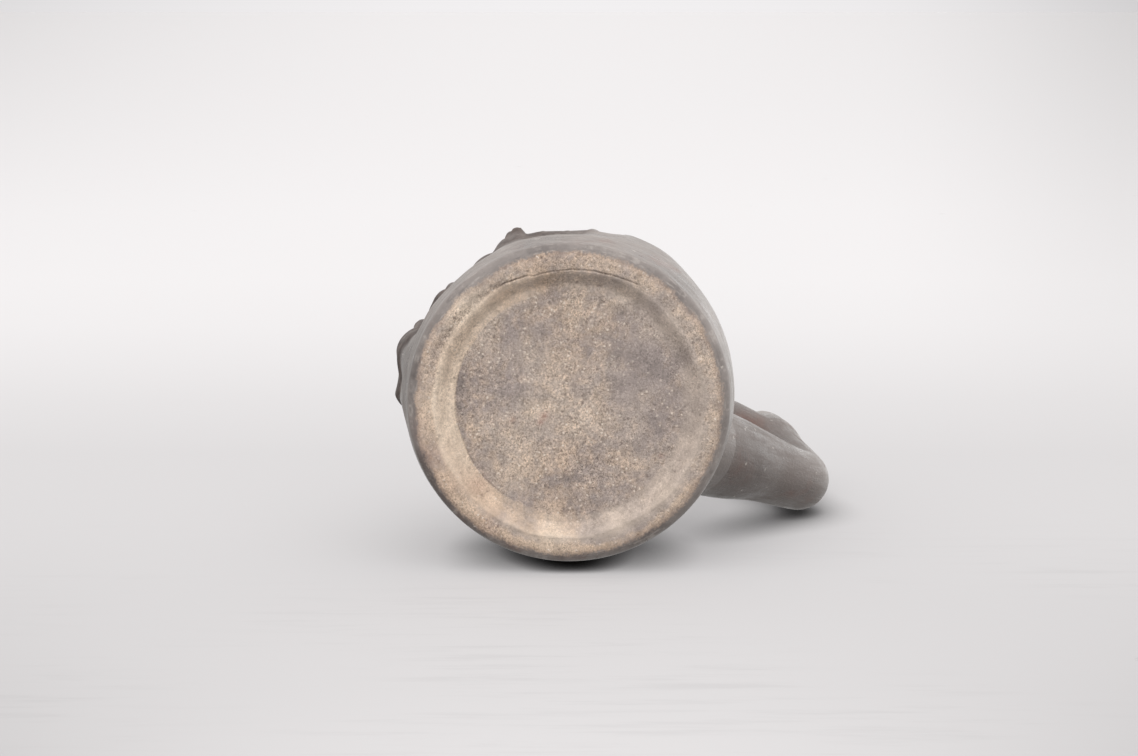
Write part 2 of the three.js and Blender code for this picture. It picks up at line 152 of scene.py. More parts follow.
def fade(low, high, value):
    """1 up to low and 0 from high on."""
    return 1.0 - ease(low, high, value)


def between(low, high, soft, value):
    """1 from low to high and 0 outside, with both edges softened."""
    return ease(low - soft, low + soft, value) * fade(high - soft, high + soft, value)


def bell(away, width):
    """1 where away is 0, falling off smoothly over the width on either side."""
    return np.exp(-((away / width) ** 2))


print("a bell one width off its middle:", round(float(bell(1.0, 1.0)), 3))


# %% [markdown]
# The chamber is a turned form with two departures that the mould gives it: the swelling where
# its two halves meet, and the sunk ground that the relief stands on. A formula gives the radius
# at every azimuth and height, and every later step can ask it where the surface is. The claws
# and legs stand in a mass of clay whose crest follows the outline in the photograph.

# %% The chamber's surface as a formula
MASS_RISES = (9.0, 31.0)  # heights between which the relief's clay swells out of the flank
MASS_FALLS = (32.0, 42.0)  # and between which it thins out again
# azimuth, and how far the clay stands off the sunk ground there
CREST = [
    (-38.0, 0.0), (-35.0, 3.5), (-31.0, 7.0), (-28.5, 8.6), (-25.0, 7.6), (-21.5, 7.2), (-18.0, 8.4),
    (-14.4, 9.2), (-10.8, 8.7), (-6.9, 7.2), (-4.5, 4.8), (0.0, 2.9), (4.6, 4.1), (7.8, 3.5), (10.6, 2.6),
    (13.4, 0.9), (16.0, 0.2), (21.5, 0.1), (25.8, 0.9), (30.0, 1.8), (34.6, 2.6), (36.6, 4.4), (39.0, 5.4),
    (42.0, 5.7), (44.8, 6.4), (46.3, 5.0), (48.0, 4.2), (52.0, 4.2), (57.0, 3.6), (62.0, 3.2), (66.4, 3.6),
    (71.0, 4.4), (75.0, 3.8), (78.5, 2.2), (84.0, 0.0),
]


def turned_radius(height):
    height = np.asarray(height, float)
    drop = np.clip((BELLY_HEIGHT - height) / BELLY_HEIGHT, 0.0, 1.0)
    rise = np.clip((height - BELLY_HEIGHT) / DOME_HEIGHT, 0.0, 1.0)
    flank = BODY_RADIUS - FLANK_DRAW * drop ** FLANK_CURVE
    dome = BODY_RADIUS * (1.0 - rise ** DOME_FULLNESS) ** (1.0 / DOME_FULLNESS)
    return np.where(height < BELLY_HEIGHT, flank, dome)


def ground_share(azimuth, height):
    """1 on the sunk ground of the relief, 0 on the smooth chamber."""
    across = fade(GROUND_SPAN - GROUND_SPAN_SOFT, GROUND_SPAN + GROUND_SPAN_SOFT, np.abs(azimuth))
    return across * between(GROUND_LOW, GROUND_HIGH, GROUND_SOFT, height)


def relief_mass(azimuth, height):
    """The clay that the claws and legs are modelled in, drawn up out of the flank below them."""
    off = np.interp(azimuth, *np.transpose(CREST))
    return off * ease(*MASS_RISES, height) * fade(*MASS_FALLS, height)


def surface_radius(azimuth, height):
    seam_azimuth = 90.0 + math.degrees(math.asin(SEAM_PLANE / BODY_RADIUS))
    up_down = ease(SEAM_FOOT, BELLY_HEIGHT, height) * fade(BELLY_HEIGHT, CHAMBER_HEIGHT, height)
    swell = SEAM_SWELL * bell(np.abs(azimuth) - seam_azimuth, SEAM_SPREAD) * up_down
    return turned_radius(height) + swell - GROUND_DEPTH * ground_share(azimuth, height)


def around(azimuth):
    """Unit direction at an azimuth in degrees, counted from the front towards +X."""
    a = np.radians(azimuth)
    return np.stack([np.sin(a), -np.cos(a), np.zeros_like(a)], -1)


def surface_point(azimuth, height, proud=0.0):
    azimuth, height = np.broadcast_arrays(np.asarray(azimuth, float), np.asarray(height, float))
    point = around(azimuth) * (surface_radius(azimuth, height) + proud)[..., None]
    point[..., 2] = height
    return point


print("belly radius at the back:", round(float(surface_radius(180.0, BELLY_HEIGHT)), 2), "mm")


# %% [markdown]
# Most forms here are skins over rows of rings. One helper makes such a skin, closed at both ends,
# in metres and in the frame, and recalculates its normals so that they all face out. Others ask
# a finished mesh where its points are, and give each of them a smooth noise.

# %% Mesh helpers
def mesh_object(name, points, faces):
    mesh = bpy.data.meshes.new(name)
    mesh.from_pydata(((np.asarray(points) + AXIS) * MM).tolist(), [], faces)
    mesh.update()
    built = bmesh.new()
    built.from_mesh(mesh)
    bmesh.ops.recalc_face_normals(built, faces=built.faces)
    built.to_mesh(mesh)
    built.free()
    return placed(name, mesh)


def skin(name, rings):
    """A closed skin over rings, an array of [ring, point, xyz]."""
    rows, count = rings.shape[:2]
    i, j = np.meshgrid(np.arange(rows - 1), np.arange(count), indexing="ij")
    a = i * count + j
    b = i * count + (j + 1) % count
    faces = np.stack([a, b, b + count, a + count], -1).reshape(-1, 4).tolist()
    first, last, start = rows * count, rows * count + 1, (rows - 1) * count
    for k in range(count):
        after = (k + 1) % count
        faces.append([first, after, k])
        faces.append([last, start + k, start + after])
    points = np.vstack([rings.reshape(-1, 3), rings[0].mean(0), rings[-1].mean(0)])
    return mesh_object(name, points, faces)


def evaluated_mesh(made):
    """The plain mesh that an object and its modifiers come to."""
    graph = bpy.context.evaluated_depsgraph_get()
    return bpy.data.meshes.new_from_object(made.evaluated_get(graph))


def applied(made):
    mesh = evaluated_mesh(made)
    made.modifiers.clear()
    made.data = mesh
    return made


def local_points(made):
    flat = np.empty(len(made.data.vertices) * 3, np.float32)
    made.data.vertices.foreach_get("co", flat)
    return flat.reshape(-1, 3).astype(float) / MM - AXIS


def azimuth_of(points):
    return np.degrees(np.arctan2(points[..., 0], -points[..., 1]))


def radius_of(points):
    return np.hypot(points[..., 0], points[..., 1])


def unit(vectors):
    return vectors / np.linalg.norm(vectors, axis=-1, keepdims=True)


def wander(points, scale, seed):
    """Smooth noise of about -1 to 1 at each point, with lumps of a given size in millimetres."""
    places = np.asarray(points, float).reshape(-1, 3) / scale + (seed, 0.7 * seed, -0.4 * seed)
    values = [noise.noise(place) for place in places.tolist()]
    return np.array(values).reshape(np.shape(points)[:-1])


print("noise at the axis:", wander(np.zeros((1, 3)), 30.0, 1.0))


# %% [markdown]
# The chamber stops just above the worn corner of its foot, where the underside, made later with a
# finer mesh, takes over. The two share the same formula, so they meet in one smooth surface.

# %% Chamber body
BODY_FLOOR = 3.4
TUCK_HEIGHT = 6.2  # below this the wall draws in behind the underside's skirt
TUCK_DEPTH, TUCK_CURVE = 0.5, 1.3
FLOOR_SHRINK = (0.93, 0.93, 1.0)  # the floor is a smaller ring, out of sight behind the underside
FLOOR_RISE = 4.2
FLANK_RINGS, DOME_RINGS, BODY_COLUMNS = 40, 90, 360
NEAR_POLE = 0.996  # the dome's last ring stops short of the pole
HAND_WORK = 0.32


def hand_work(points):
    """How far a potter's hand left the wall off true, in millimetres."""
    return HAND_WORK * (0.7 * wander(points, 31.0, 4.0) + 0.45 * wander(points, 12.0, 9.0))


def chamber_body():
    rise = np.sin(np.linspace(0.0, NEAR_POLE, DOME_RINGS) * math.pi / 2) ** (2 / DOME_FULLNESS)
    flank = np.linspace(BODY_FLOOR, BELLY_HEIGHT, FLANK_RINGS, endpoint=False)
    levels = np.concatenate([flank, BELLY_HEIGHT + DOME_HEIGHT * rise])
    azimuths = np.linspace(-180.0, 180.0, BODY_COLUMNS, endpoint=False)
    height, azimuth = np.meshgrid(levels, azimuths, indexing="ij")
    tuck = TUCK_DEPTH * np.maximum(TUCK_HEIGHT - height, 0.0) ** TUCK_CURVE
    rings = surface_point(azimuth, height, relief_mass(azimuth, height) - tuck)
    floor = rings[0] * FLOOR_SHRINK + (0.0, 0.0, FLOOR_RISE)
    return skin("chamber_body", np.concatenate([floor[None], rings]))


body = chamber_body()
print("chamber body:", len(body.data.polygons), "faces")


# %% [markdown]
# Node trees are built in code here, for the stirrup's shape and for every finish. A small class
# gives short words for adding nodes, joining them up and doing sums with them, so that a tree
# reads almost like a formula. What several trees share becomes a node group.

# %% Node helpers
class Nodes:
    """Short words for adding nodes to a tree and joining them up."""

    def __init__(self, tree):
        self.tree = tree

    def feed(self, socket, value):
        if isinstance(value, bpy.types.NodeSocket):
            self.tree.links.new(value, socket)
        else:
            socket.default_value = value

    def fill(self, node, **values):
        for key, value in values.items():
            self.feed(node.inputs[key.replace("_", " ")], value)
        return node

    def add(self, kind, settings=None, **values):
        """A node with its settings, its inputs fed by name."""
        made = self.tree.nodes.new(kind)
        for key, value in (settings or {}).items():
            setattr(made, key, value)
        return self.fill(made, **values)

    def row(self, kind, settings, *values):
        """A node with its settings, its inputs fed in their order."""
        made = self.add(kind, settings)
        for socket, value in zip(made.inputs, values):
            self.feed(socket, value)
        return made

    def math(self, operation, *values):
        return self.row("ShaderNodeMath", {"operation": operation}, *values).outputs[0]

    def plus(self, first, *others):
        for other in others:
            first = self.math("ADD", first, other)
        return first

    def times(self, first, *others):
        for other in others:
            first = self.math("MULTIPLY", first, other)
        return first

    def vector(self, operation, *values):
        made = self.row("ShaderNodeVectorMath", {"operation": operation}, *values)
        return made.outputs["Value" if operation in ("DOT_PRODUCT", "LENGTH") else "Vector"]

    def span(self, value, low, high, first=0.0, last=1.0):
        """Eases from first to last as the value goes from low to high."""
        settings = {"interpolation_type": "SMOOTHSTEP"}
        return self.row("ShaderNodeMapRange", settings, value, low, high, first, last).outputs["Result"]

    def mix(self, share, first, second, blend="MIX", kind="RGBA"):
        made = self.add("ShaderNodeMix", {"data_type": kind, "blend_type": blend})
        places, result = ((0, 6, 7), 2) if kind == "RGBA" else ((0, 2, 3), 0)
        for place, value in zip(places, (share, first, second)):
            self.feed(made.inputs[place], value)
        return made.outputs[result]

    def layers(self, color, *layers):
        """Lays colours over the first one in turn, each with its share."""
        for share, over in layers:
            color = self.mix(share, color, over)
        return color

    def cloud(self, place, scale, detail=3.0, roughness=0.55, distortion=0.0):
        return self.add("ShaderNodeTexNoise", Vector=place, Scale=scale, Detail=detail,
                        Roughness=roughness, Distortion=distortion).outputs["Fac"]

    def mask(self, name, output="Fac"):
        """What each point of the mesh carries under this name."""
        return self.add("ShaderNodeAttribute", {"attribute_name": name}).outputs[output]

    def moved(self, place, settings=None, **values):
        return self.add("ShaderNodeMapping", settings, Vector=place, **values).outputs["Vector"]

    def used(self, tree, **values):
        return self.add("ShaderNodeGroup", {"node_tree": tree}, **values).outputs


def group(name, inputs, outputs, tree_kind="ShaderNodeTree"):
    """A node group. Each socket is given as its label with its kind, or with a number."""
    n = Nodes(bpy.data.node_groups.new(name, tree_kind))
    for in_out, sockets in (("INPUT", inputs), ("OUTPUT", outputs)):
        for label, given in sockets.items():
            kind = "Float" if isinstance(given, float) else given
            socket = n.tree.interface.new_socket(label, in_out=in_out, socket_type="NodeSocket" + kind)
            if isinstance(given, float):
                socket.default_value = given
    return n, n.tree.nodes.new("NodeGroupInput").outputs, n.tree.nodes.new("NodeGroupOutput").inputs


print("node helpers ready")


# %% [markdown]
# The two arms of the stirrup were rolled round a stick and bent while soft. Geometry Nodes sweep
# a circle along each arm's line. The circle is wider where the arm was smeared on to the chamber
# and a little wider where the other arm comes in. The tree has its sizes as named inputs, so one
# tree serves both arms and the bore.

# %% Stirrup tree
def stirrup_tree():
    inputs = {"Line": "Geometry", "Tube Radius": 0.012, "Root Flare": 0.0, "Flare Reach": 0.5,
              "Join Swell": 0.0, "Join Place": 0.5, "Join Spread": 1.0, "Clay": "Material"}
    n, given, out = group("stirrup_arm", inputs, {"Arm": "Geometry"}, "GeometryNodeTree")
    along = n.add("GeometryNodeSplineParameter").outputs["Factor"]
    flare = n.times(n.span(along, 0.0, given["Flare Reach"], 1.0, 0.0), given["Root Flare"])
    away = n.math("DIVIDE", n.math("SUBTRACT", along, given["Join Place"]), given["Join Spread"])
    swell = n.times(n.math("EXPONENT", n.times(away, away, -1.0)), given["Join Swell"])
    radius = n.plus(given["Tube Radius"], flare, swell)
    even = n.add("GeometryNodeResampleCurve", {"mode": "COUNT"}, Curve=given["Line"], Count=110)
    circle = n.add("GeometryNodeCurvePrimitiveCircle", Resolution=72, Radius=1.0)
    sweep = n.add("GeometryNodeCurveToMesh", Curve=even.outputs["Curve"],
                  Profile_Curve=circle.outputs["Curve"], Scale=radius, Fill_Caps=True)
    real = n.add("GeometryNodeRealizeInstances", Geometry=sweep.outputs["Mesh"])
    paint = n.add("GeometryNodeSetMaterial", Geometry=real.outputs["Geometry"], Material=given["Clay"])
    n.feed(out["Arm"], paint.outputs["Geometry"])
    return n.tree


STIRRUP_TREE = stirrup_tree()
print("stirrup tree:", len(STIRRUP_TREE.nodes), "nodes")

# %% [markdown]
# The arms' lines are smooth curves in the plane of the loop. The lower one leaves the back of the
# chamber, turns up at an elbow and ends under the spout. The upper one springs from the dome and
# comes in where the arch is level. Bends are shares of the way between an arm's marks, so an arm
# keeps its look when the marks move.

# %% Stirrup arms
TUBE_RADIUS = 12.8
UPPER_TUBE_RADIUS = 12.4
ROOT_FLARE = 6.0
LOWER_FLARE_REACH = 0.6
UPPER_FLARE_REACH = 0.5
JOIN_SWELL = 1.5
LOWER_ROOT_HEIGHT = 58.0
UPPER_ROOT_REACH = 30.0
WALL = 6.0
ELBOW_REACH = SPOUT_REACH + 10.0
ELBOW_HEIGHT = LOWER_ROOT_HEIGHT + 46.5
ARCH_HEIGHT = CHAMBER_HEIGHT + 40.0
ARM_BENDS = [(0.17, 0.14), (0.49, 0.5), (0.78, 0.74)]
NECK_BENDS = [(0.2, 0.26), (0.66, 0.53), (0.97, 0.8)]
ARCH_BENDS = [(0.09, 0.15), (0.29, 0.57), (0.52, 0.83), (0.75, 0.97)]
FINER = 0.15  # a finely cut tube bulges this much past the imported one's facets
LENGTH_INPUTS = ("Tube Radius", "Root Flare", "Join Swell")
BLENDS = [((0, 1), (1, 2), (2, 3)), ((0, 2), (1, 3)), ((1, 2),)]  # marks between which points are blended


def smooth_line(corners, count=160):
    """Catmull-Rom points through corners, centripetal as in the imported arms."""
    corners = [Vector(c) for c in corners]
    ends = [2 * corners[0] - corners[1], *corners, 2 * corners[-1] - corners[-2]]
    found = []
    for points in zip(ends, ends[1:], ends[2:], ends[3:]):
        marks = [0.0]
        for here, after in zip(points, points[1:]):
            marks.append(marks[-1] + (after - here).length ** 0.5)
        for t in np.linspace(marks[1], marks[2], count // (len(corners) - 1), endpoint=False):
            blended = points
            for spans in BLENDS:
                spans = [(marks[i], marks[j]) for i, j in spans]
                blended = [here * ((b - t) / (b - a)) + after * ((t - a) / (b - a))
                           for here, after, (a, b) in zip(blended, blended[1:], spans)]
            found.append(blended[0])
    return [*found, corners[-1]]


def bent_line(root, marks, bends):
    """The line of an arm, through bends given as shares of the way out and up between marks."""
    corners = [root]
    for (reach, height), (next_reach, next_height), shares in zip(marks, marks[1:], bends):
        for out, up in [*shares, (1.0, 1.0)]:
            corners.append((reach + (next_reach - reach) * out, height + (next_height - height) * up))
    return [np.array(p) for p in smooth_line([(0.0, y, z) for y, z in corners])]


def length_of(line):
    return sum(np.linalg.norm(b - a) for a, b in zip(line, line[1:]))


def swept(name, line, sizes):
    """Runs the stirrup tree on a line. Sizes are its inputs by name, lengths in millimetres."""
    curve = bpy.data.curves.new(name + "_line", "CURVE")
    curve.dimensions = "3D"
    spline = curve.splines.new("POLY")
    spline.points.add(len(line) - 1)
    for point, place in zip(spline.points, line):
        point.co = (*((place + AXIS) * MM), 1.0)
    arm = placed(name, curve)
    modifier = arm.modifiers.new("arm", "NODES")
    modifier.node_group = STIRRUP_TREE
    for item in STIRRUP_TREE.interface.items_tree:
        if item.in_out == "INPUT" and item.name in sizes:
            scale = MM if item.name in LENGTH_INPUTS else 1.0
            modifier[item.identifier] = float(sizes[item.name] * scale)
    mesh = evaluated_mesh(arm)
    bpy.data.objects.remove(arm)
    return placed(name, mesh)


lower_root = float(surface_radius(180.0, LOWER_ROOT_HEIGHT))
upper_share = (1.0 - (UPPER_ROOT_REACH / BODY_RADIUS) ** DOME_FULLNESS) ** (1.0 / DOME_FULLNESS)
upper_root = BELLY_HEIGHT + DOME_HEIGHT * upper_share
LOWER_LINE = bent_line(
    (lower_root - 2 * WALL, LOWER_ROOT_HEIGHT - 2 * WALL),
    [(lower_root, LOWER_ROOT_HEIGHT), (ELBOW_REACH, ELBOW_HEIGHT), (SPOUT_REACH, SPOUT_SEAT)],
    [ARM_BENDS, NECK_BENDS],
)
UPPER_LINE = bent_line(
    (UPPER_ROOT_REACH - 0.5 * WALL, upper_root - 1.6 * WALL),
    [(UPPER_ROOT_REACH, upper_root), (SPOUT_REACH, ARCH_HEIGHT)],
    [ARCH_BENDS],
)
lower_length = length_of(LOWER_LINE)
LOWER_SIZES = {
    "Tube Radius": TUBE_RADIUS - FINER, "Root Flare": ROOT_FLARE, "Flare Reach": LOWER_FLARE_REACH,
    "Join Swell": JOIN_SWELL, "Join Place": 1.0 - (SPOUT_SEAT - ARCH_HEIGHT) / lower_length,
    "Join Spread": UPPER_TUBE_RADIUS / lower_length,
}
UPPER_SIZES = {
    "Tube Radius": UPPER_TUBE_RADIUS - FINER, "Root Flare": ROOT_FLARE, "Flare Reach": UPPER_FLARE_REACH,
}
lower_arm = swept("lower_arm", LOWER_LINE, LOWER_SIZES)
upper_arm = swept("upper_arm", UPPER_LINE, UPPER_SIZES)
print("arms:", len(lower_arm.data.polygons), len(upper_arm.data.polygons), "faces")

# %% [markdown]
# Each arm is luted on with a collar of slip that the finger smears out over the joint. The collar
# belongs to the chamber's mesh: a short tube round the arm's root, a hair wider than the arm, that
# thins out along it, so the two meshes meet in a line too shallow to see.

# %% Collars round the arms' roots
COLLAR_PROUD = 0.3
COLLAR_THINS = 0.9
COLLAR_RINGS, COLLAR_SIDES = 40, 72


def collar(name, line, sizes, share):
    """Rings round the first share of an arm's line, wider than the arm and thinning to less."""
    travels = np.concatenate([[0.0], np.cumsum([np.linalg.norm(b - a) for a, b in zip(line, line[1:])])])
    side = np.array((1.0, 0.0, 0.0))
    turns = np.linspace(0.0, 2.0 * math.pi, COLLAR_SIDES, endpoint=False)[:, None]

    def spot_at(travel):
        return np.array([np.interp(travel, travels, values) for values in np.transpose(line)])

    rings = []
    for t in np.linspace(0.0, share, COLLAR_RINGS):
        spot = spot_at(t * travels[-1])
        across = np.cross(unit(spot_at(t * travels[-1] + 1.0) - spot), side)
        radius = sizes["Tube Radius"] + sizes["Root Flare"] * fade(0.0, sizes["Flare Reach"], t)
        radius += COLLAR_PROUD - COLLAR_THINS * ease(0.3 * share, share, t)
        rings.append(spot + radius * (np.cos(turns) * side + np.sin(turns) * across))
    return skin(name, np.array(rings))


collars = [
    collar("lower_collar", LOWER_LINE, LOWER_SIZES, share=0.14),
    collar("upper_collar", UPPER_LINE, UPPER_SIZES, share=0.16),
]
print("collars:", len(collars))

# %% [markdown]
# The spout is a short tube that narrows up to a rounded lip. It is made whole, and the hollow that
# runs up through the lower arm and out of the lip is then cut with a tube swept by the same tree.

# %% Spout and bore
SPOUT_WALL = 3.6
SPOUT_TAIL = 6.0  # how far the spout's form runs down into the arm
LIP_RADIUS = 10.4
BORE_SHARE = 0.6
POLE = 0.5  # a closed form's first and last rings


def spout_form():
    edge = SPOUT_WALL / 2
    seat_radius = TUBE_RADIUS + JOIN_SWELL * float(bell(SPOUT_SEAT - ARCH_HEIGHT, UPPER_TUBE_RADIUS))
    foot = SPOUT_SEAT - SPOUT_TAIL
    profile = [(POLE, foot), (seat_radius, foot), (seat_radius, SPOUT_SEAT)]
    profile.append((0.5 * (seat_radius + LIP_RADIUS) + 0.2, 0.5 * (SPOUT_SEAT + SPOUT_TOP)))
    for turn in np.linspace(0.0, math.pi, 9):
        profile.append((LIP_RADIUS - edge + edge * math.cos(turn), SPOUT_TOP - edge + edge * math.sin(turn)))
    profile += [(LIP_RADIUS - SPOUT_WALL - 0.4, SPOUT_TOP - SPOUT_WALL), (POLE, SPOUT_TOP - SPOUT_WALL)]
    azimuths = np.linspace(0.0, 360.0, 96, endpoint=False)
    rings = [around(azimuths) * (r - FINER * (r > POLE)) + (0.0, SPOUT_REACH, z) for r, z in profile]
    return skin("spout_form", np.stack(rings))


def bored(made, cutter):
    cut = made.modifiers.new("bore", "BOOLEAN")
    cut.operation = "DIFFERENCE"
    cut.solver = "EXACT"
    cut.object = cutter
    return applied(made)


spout = spout_form()
bore_line = LOWER_LINE[int(BORE_SHARE * len(LOWER_LINE)):]
bore_line += [np.array((0.0, SPOUT_REACH, z)) for z in np.linspace(SPOUT_SEAT + 1.0, SPOUT_TOP + 4.0, 20)]
bore = swept("bore", bore_line, {"Tube Radius": LIP_RADIUS - SPOUT_WALL})
spout, lower_arm, upper_arm = [bored(form, bore) for form in (spout, lower_arm, upper_arm)]
bpy.data.objects.remove(bore)
print("spout:", len(spout.data.polygons), "faces")

# %% [markdown]
# The crab was worked on to the front half in clay: its shell's rim, two claws of unequal size
# on bent arms, eight legs, two eyes and a knob beside one leg. Each limb is a strip with an oval
# section that follows a route on the chamber, and swells and tapers on the way as a rolled and
# pinched coil does. The strips sink into the chamber, and a later step melts them together.

# %% Strips of clay
STRIP_SIDES = 28
STRIP_ENDS = (0.006, 0.994)  # just short of the tips, where a ring would shrink to a point
JOINTS, JOINT_LENGTH, JOINT_PINCH = (0.33, 0.68), 0.035, 0.3
BALL_COLUMNS, BALL_RINGS = 36, 18


def hump(even, top, place, spread):
    return lambda t: even + (top - even) * bell(t - place, spread)


def taper(first, last):
    return lambda t: first + (last - first) * t


def pinched(first, last):
    """Tapers, and is drawn in at the two joints of a leg."""
    plain_taper = taper(first, last)
    return lambda t: plain_taper(t) * (1.0 - JOINT_PINCH * sum(bell(t - at, JOINT_LENGTH) for at in JOINTS))


def strip(name, route, proud, half_width, widths=taper(1.0, 1.0), heights=taper(1.0, 1.0), steps=44):
    """A strip on the chamber. Widths and heights are shares of its sizes along the way."""
    line = smooth_line([(azimuth, height, 0.0) for azimuth, height in route], 200)
    turns = np.linspace(0.0, 2.0 * math.pi, STRIP_SIDES, endpoint=False)[:, None]
    rings = []
    for t in np.linspace(*STRIP_ENDS, steps):
        place = t * (len(line) - 1)
        before, after = line[max(int(place) - 2, 0)], line[min(int(place) + 2, len(line) - 1)]
        spot = line[int(place)].lerp(line[min(int(place) + 1, len(line) - 1)], place % 1.0)
        fall = turned_radius(spot.y - 1.0) - turned_radius(spot.y + 1.0)
        normal = unit(around(spot.x) * 2.0 + (0.0, 0.0, float(fall)))
        along = unit(surface_point(after.x, after.y) - surface_point(before.x, before.y))
        across = unit(np.cross(along, normal))
        ends = math.sqrt(1.0 - abs(2.0 * t - 1.0) ** 3)
        wide = half_width * widths(t) * ends * np.cos(turns) * across
        high = proud * heights(t) * ends * np.sin(turns) * normal
        rings.append(surface_point(spot.x, spot.y) + wide + high)
    return skin(name, np.array(rings))


def limb(name, azimuth, proud, half_width, route, widths, heights):
    """A strip whose route is counted from its azimuth, outwards on its own side."""
    side = math.copysign(1.0, azimuth)
    places = [(azimuth + side * off, height) for off, height in route]
    return strip(name, places, proud, half_width, widths, heights)


def ball(name, azimuth, height, proud, radius):
    azimuths = np.linspace(0.0, 360.0, BALL_COLUMNS, endpoint=False)
    turns = np.linspace(0.02, math.pi - 0.02, BALL_RINGS)
    rings = np.stack([around(azimuths) * math.sin(a) + (0.0, 0.0, -math.cos(a)) for a in turns])
    return skin(name, surface_point(azimuth, height, proud) + radius * rings)


print("strips of clay ready,", STRIP_SIDES, "points round each ring")

# %% [markdown]
# The crab's own sizes follow. A limb has an azimuth, how far it stands proud and half its width,
# as they were measured on the outline.

# %% The crab
LEG_TOP = RIM_HEIGHT - 3.0
LEG_KNEE = 43.0
LEG_TIP = GROUND_LOW + 1.0
CLAW_LOW = GROUND_LOW + 4.0
RIM_REACH, RIM_PROUD, RIM_HALF_WIDTH = 86.0, 2.4, 3.6
EYE_AZIMUTH, EYE_RISE, EYE_PROUD, EYE_RADIUS = 10.0, 14.0, 1.5, 4.4
KNOB = dict(azimuth=44.6, height=33.0, proud=4.9, radius=3.1)
LEGS = {
    "right": [(41.5, 6.6, 4.6), (52.0, 3.4, 4.3), (61.5, 2.6, 4.2), (71.0, 3.9, 5.2)],
    "left": [(-45.0, 5.2, 4.4), (-55.0, 4.8, 4.1), (-64.5, 4.4, 4.0), (-74.0, 4.0, 3.8)],
}
CLAWS = {"left": (-12.6, 9.9, 12.4, 43.0), "right": (8.0, 4.4, 8.6, 36.0)}  # and the claw's length
CLAW_ARMS = {"left": (-29.0, 9.3, 8.8), "right": (28.5, 2.6, 7.4)}
LEG_SHAPE = (
    [(-5.0, LEG_TOP), (-1.0, 0.5 * (LEG_TOP + LEG_KNEE) + 2.0), (0.5, LEG_KNEE),
     (-1.5, 0.5 * (LEG_KNEE + LEG_TIP)), (-6.0, LEG_TIP)],
    pinched(1.0, 0.62), hump(0.72, 1.0, 0.52, 0.2),
)
ARM_SHAPE = (
    [(8.0, LEG_TOP), (3.0, 0.55 * LEG_TOP + 0.45 * LEG_KNEE), (0.0, LEG_KNEE - 4.0), (-6.0, LEG_KNEE - 14.0)],
    taper(0.5, 0.72), hump(0.62, 1.0, 0.66, 0.22),
)
CLAW_SHAPES = {  # routes as shares of the claw's width and length
    "palm": ([(0.35, 0.0), (0.0, 0.3), (-0.1, 0.7)], taper(0.72, 0.72), hump(0.6, 1.0, 0.45, 0.4)),
    "outer": ([(0.42, 0.38), (0.62, 0.74), (0.16, 1.0)], taper(0.42, 0.2), taper(0.9, 0.55)),
    "inner": ([(-0.42, 0.4), (-0.66, 0.66), (-0.42, 0.9)], taper(0.32, 0.17), taper(0.8, 0.5)),
}


def claw(name, azimuth, proud, half_width, length):
    spread = math.degrees(half_width / BODY_RADIUS)
    return [
        limb(f"{name}_{part}", azimuth, proud, half_width,
             [(off * spread, CLAW_LOW + rise * length) for off, rise in route], *shape)
        for part, (route, *shape) in CLAW_SHAPES.items()
    ]


rim_route = [(azimuth, RIM_HEIGHT) for azimuth in np.linspace(-RIM_REACH, RIM_REACH, 9)]
relief = [strip("rim", rim_route, RIM_PROUD, RIM_HALF_WIDTH, steps=160)]
for side_name, legs in LEGS.items():
    relief += [limb(f"leg_{side_name}_{i}", *each, *LEG_SHAPE) for i, each in enumerate(legs, 1)]
for side_name, sizes in CLAWS.items():
    relief += claw("claw_" + side_name, *sizes)
for side_name, sizes in CLAW_ARMS.items():
    relief.append(limb("arm_" + side_name, *sizes, *ARM_SHAPE))
for azimuth in (-EYE_AZIMUTH, EYE_AZIMUTH):
    relief.append(ball("eye", azimuth, RIM_HEIGHT + EYE_RISE, EYE_PROUD, EYE_RADIUS))
relief.append(ball("knob", **KNOB))
print("relief strips:", len(relief))


# %% [markdown]
# Fired clay has no seams between its pieces. The closed forms are joined in one object and
# remeshed with small voxels, which keeps only the outer skin. Smoothing then rounds the inner
# corners, as the potter's wet finger does, and a slow noise takes the wall a little off true.

# %% Melt the forms together
CHAMBER_VOXEL = 0.92
STIRRUP_VOXEL = 0.66
INSET = 0.08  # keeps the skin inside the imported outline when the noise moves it


def melt(name, forms, voxel, smoothing):
    joined = bmesh.new()
    for form in forms:
        joined.from_mesh(form.data)
        bpy.data.objects.remove(form)
    mesh = bpy.data.meshes.new(name)
    joined.to_mesh(mesh)
    joined.free()
    made = placed(name, mesh)
    remesh = made.modifiers.new("skin", "REMESH")
    remesh.mode = "VOXEL"
    remesh.voxel_size = voxel * MM
    soften = made.modifiers.new("soften", "SMOOTH")
    soften.factor = 0.5
    soften.iterations = smoothing
    return off_true(applied(made))


def off_true(made):
    """Moves each point along its normal by the hand's unevenness, less the inset."""
    points = local_points(made)
    normals = np.empty(len(points) * 3, np.float32)
    made.data.vertices.foreach_get("normal", normals)
    moved = points + normals.reshape(-1, 3) * (hand_work(points) - INSET)[:, None]
    made.data.vertices.foreach_set("co", ((moved + AXIS) * MM).ravel().astype(np.float32))
    made.data.update()
    return made


chamber = melt("chamber", [body, *collars, *relief], CHAMBER_VOXEL, smoothing=5)
stirrup = melt("stirrup", [lower_arm, upper_arm, spout], STIRRUP_VOXEL, smoothing=7)
for made in (chamber, stirrup):
    low, high = local_points(made).min(0), local_points(made).max(0)
    print(made.name, len(made.data.polygons), "faces", np.round(low, 2), np.round(high, 2))


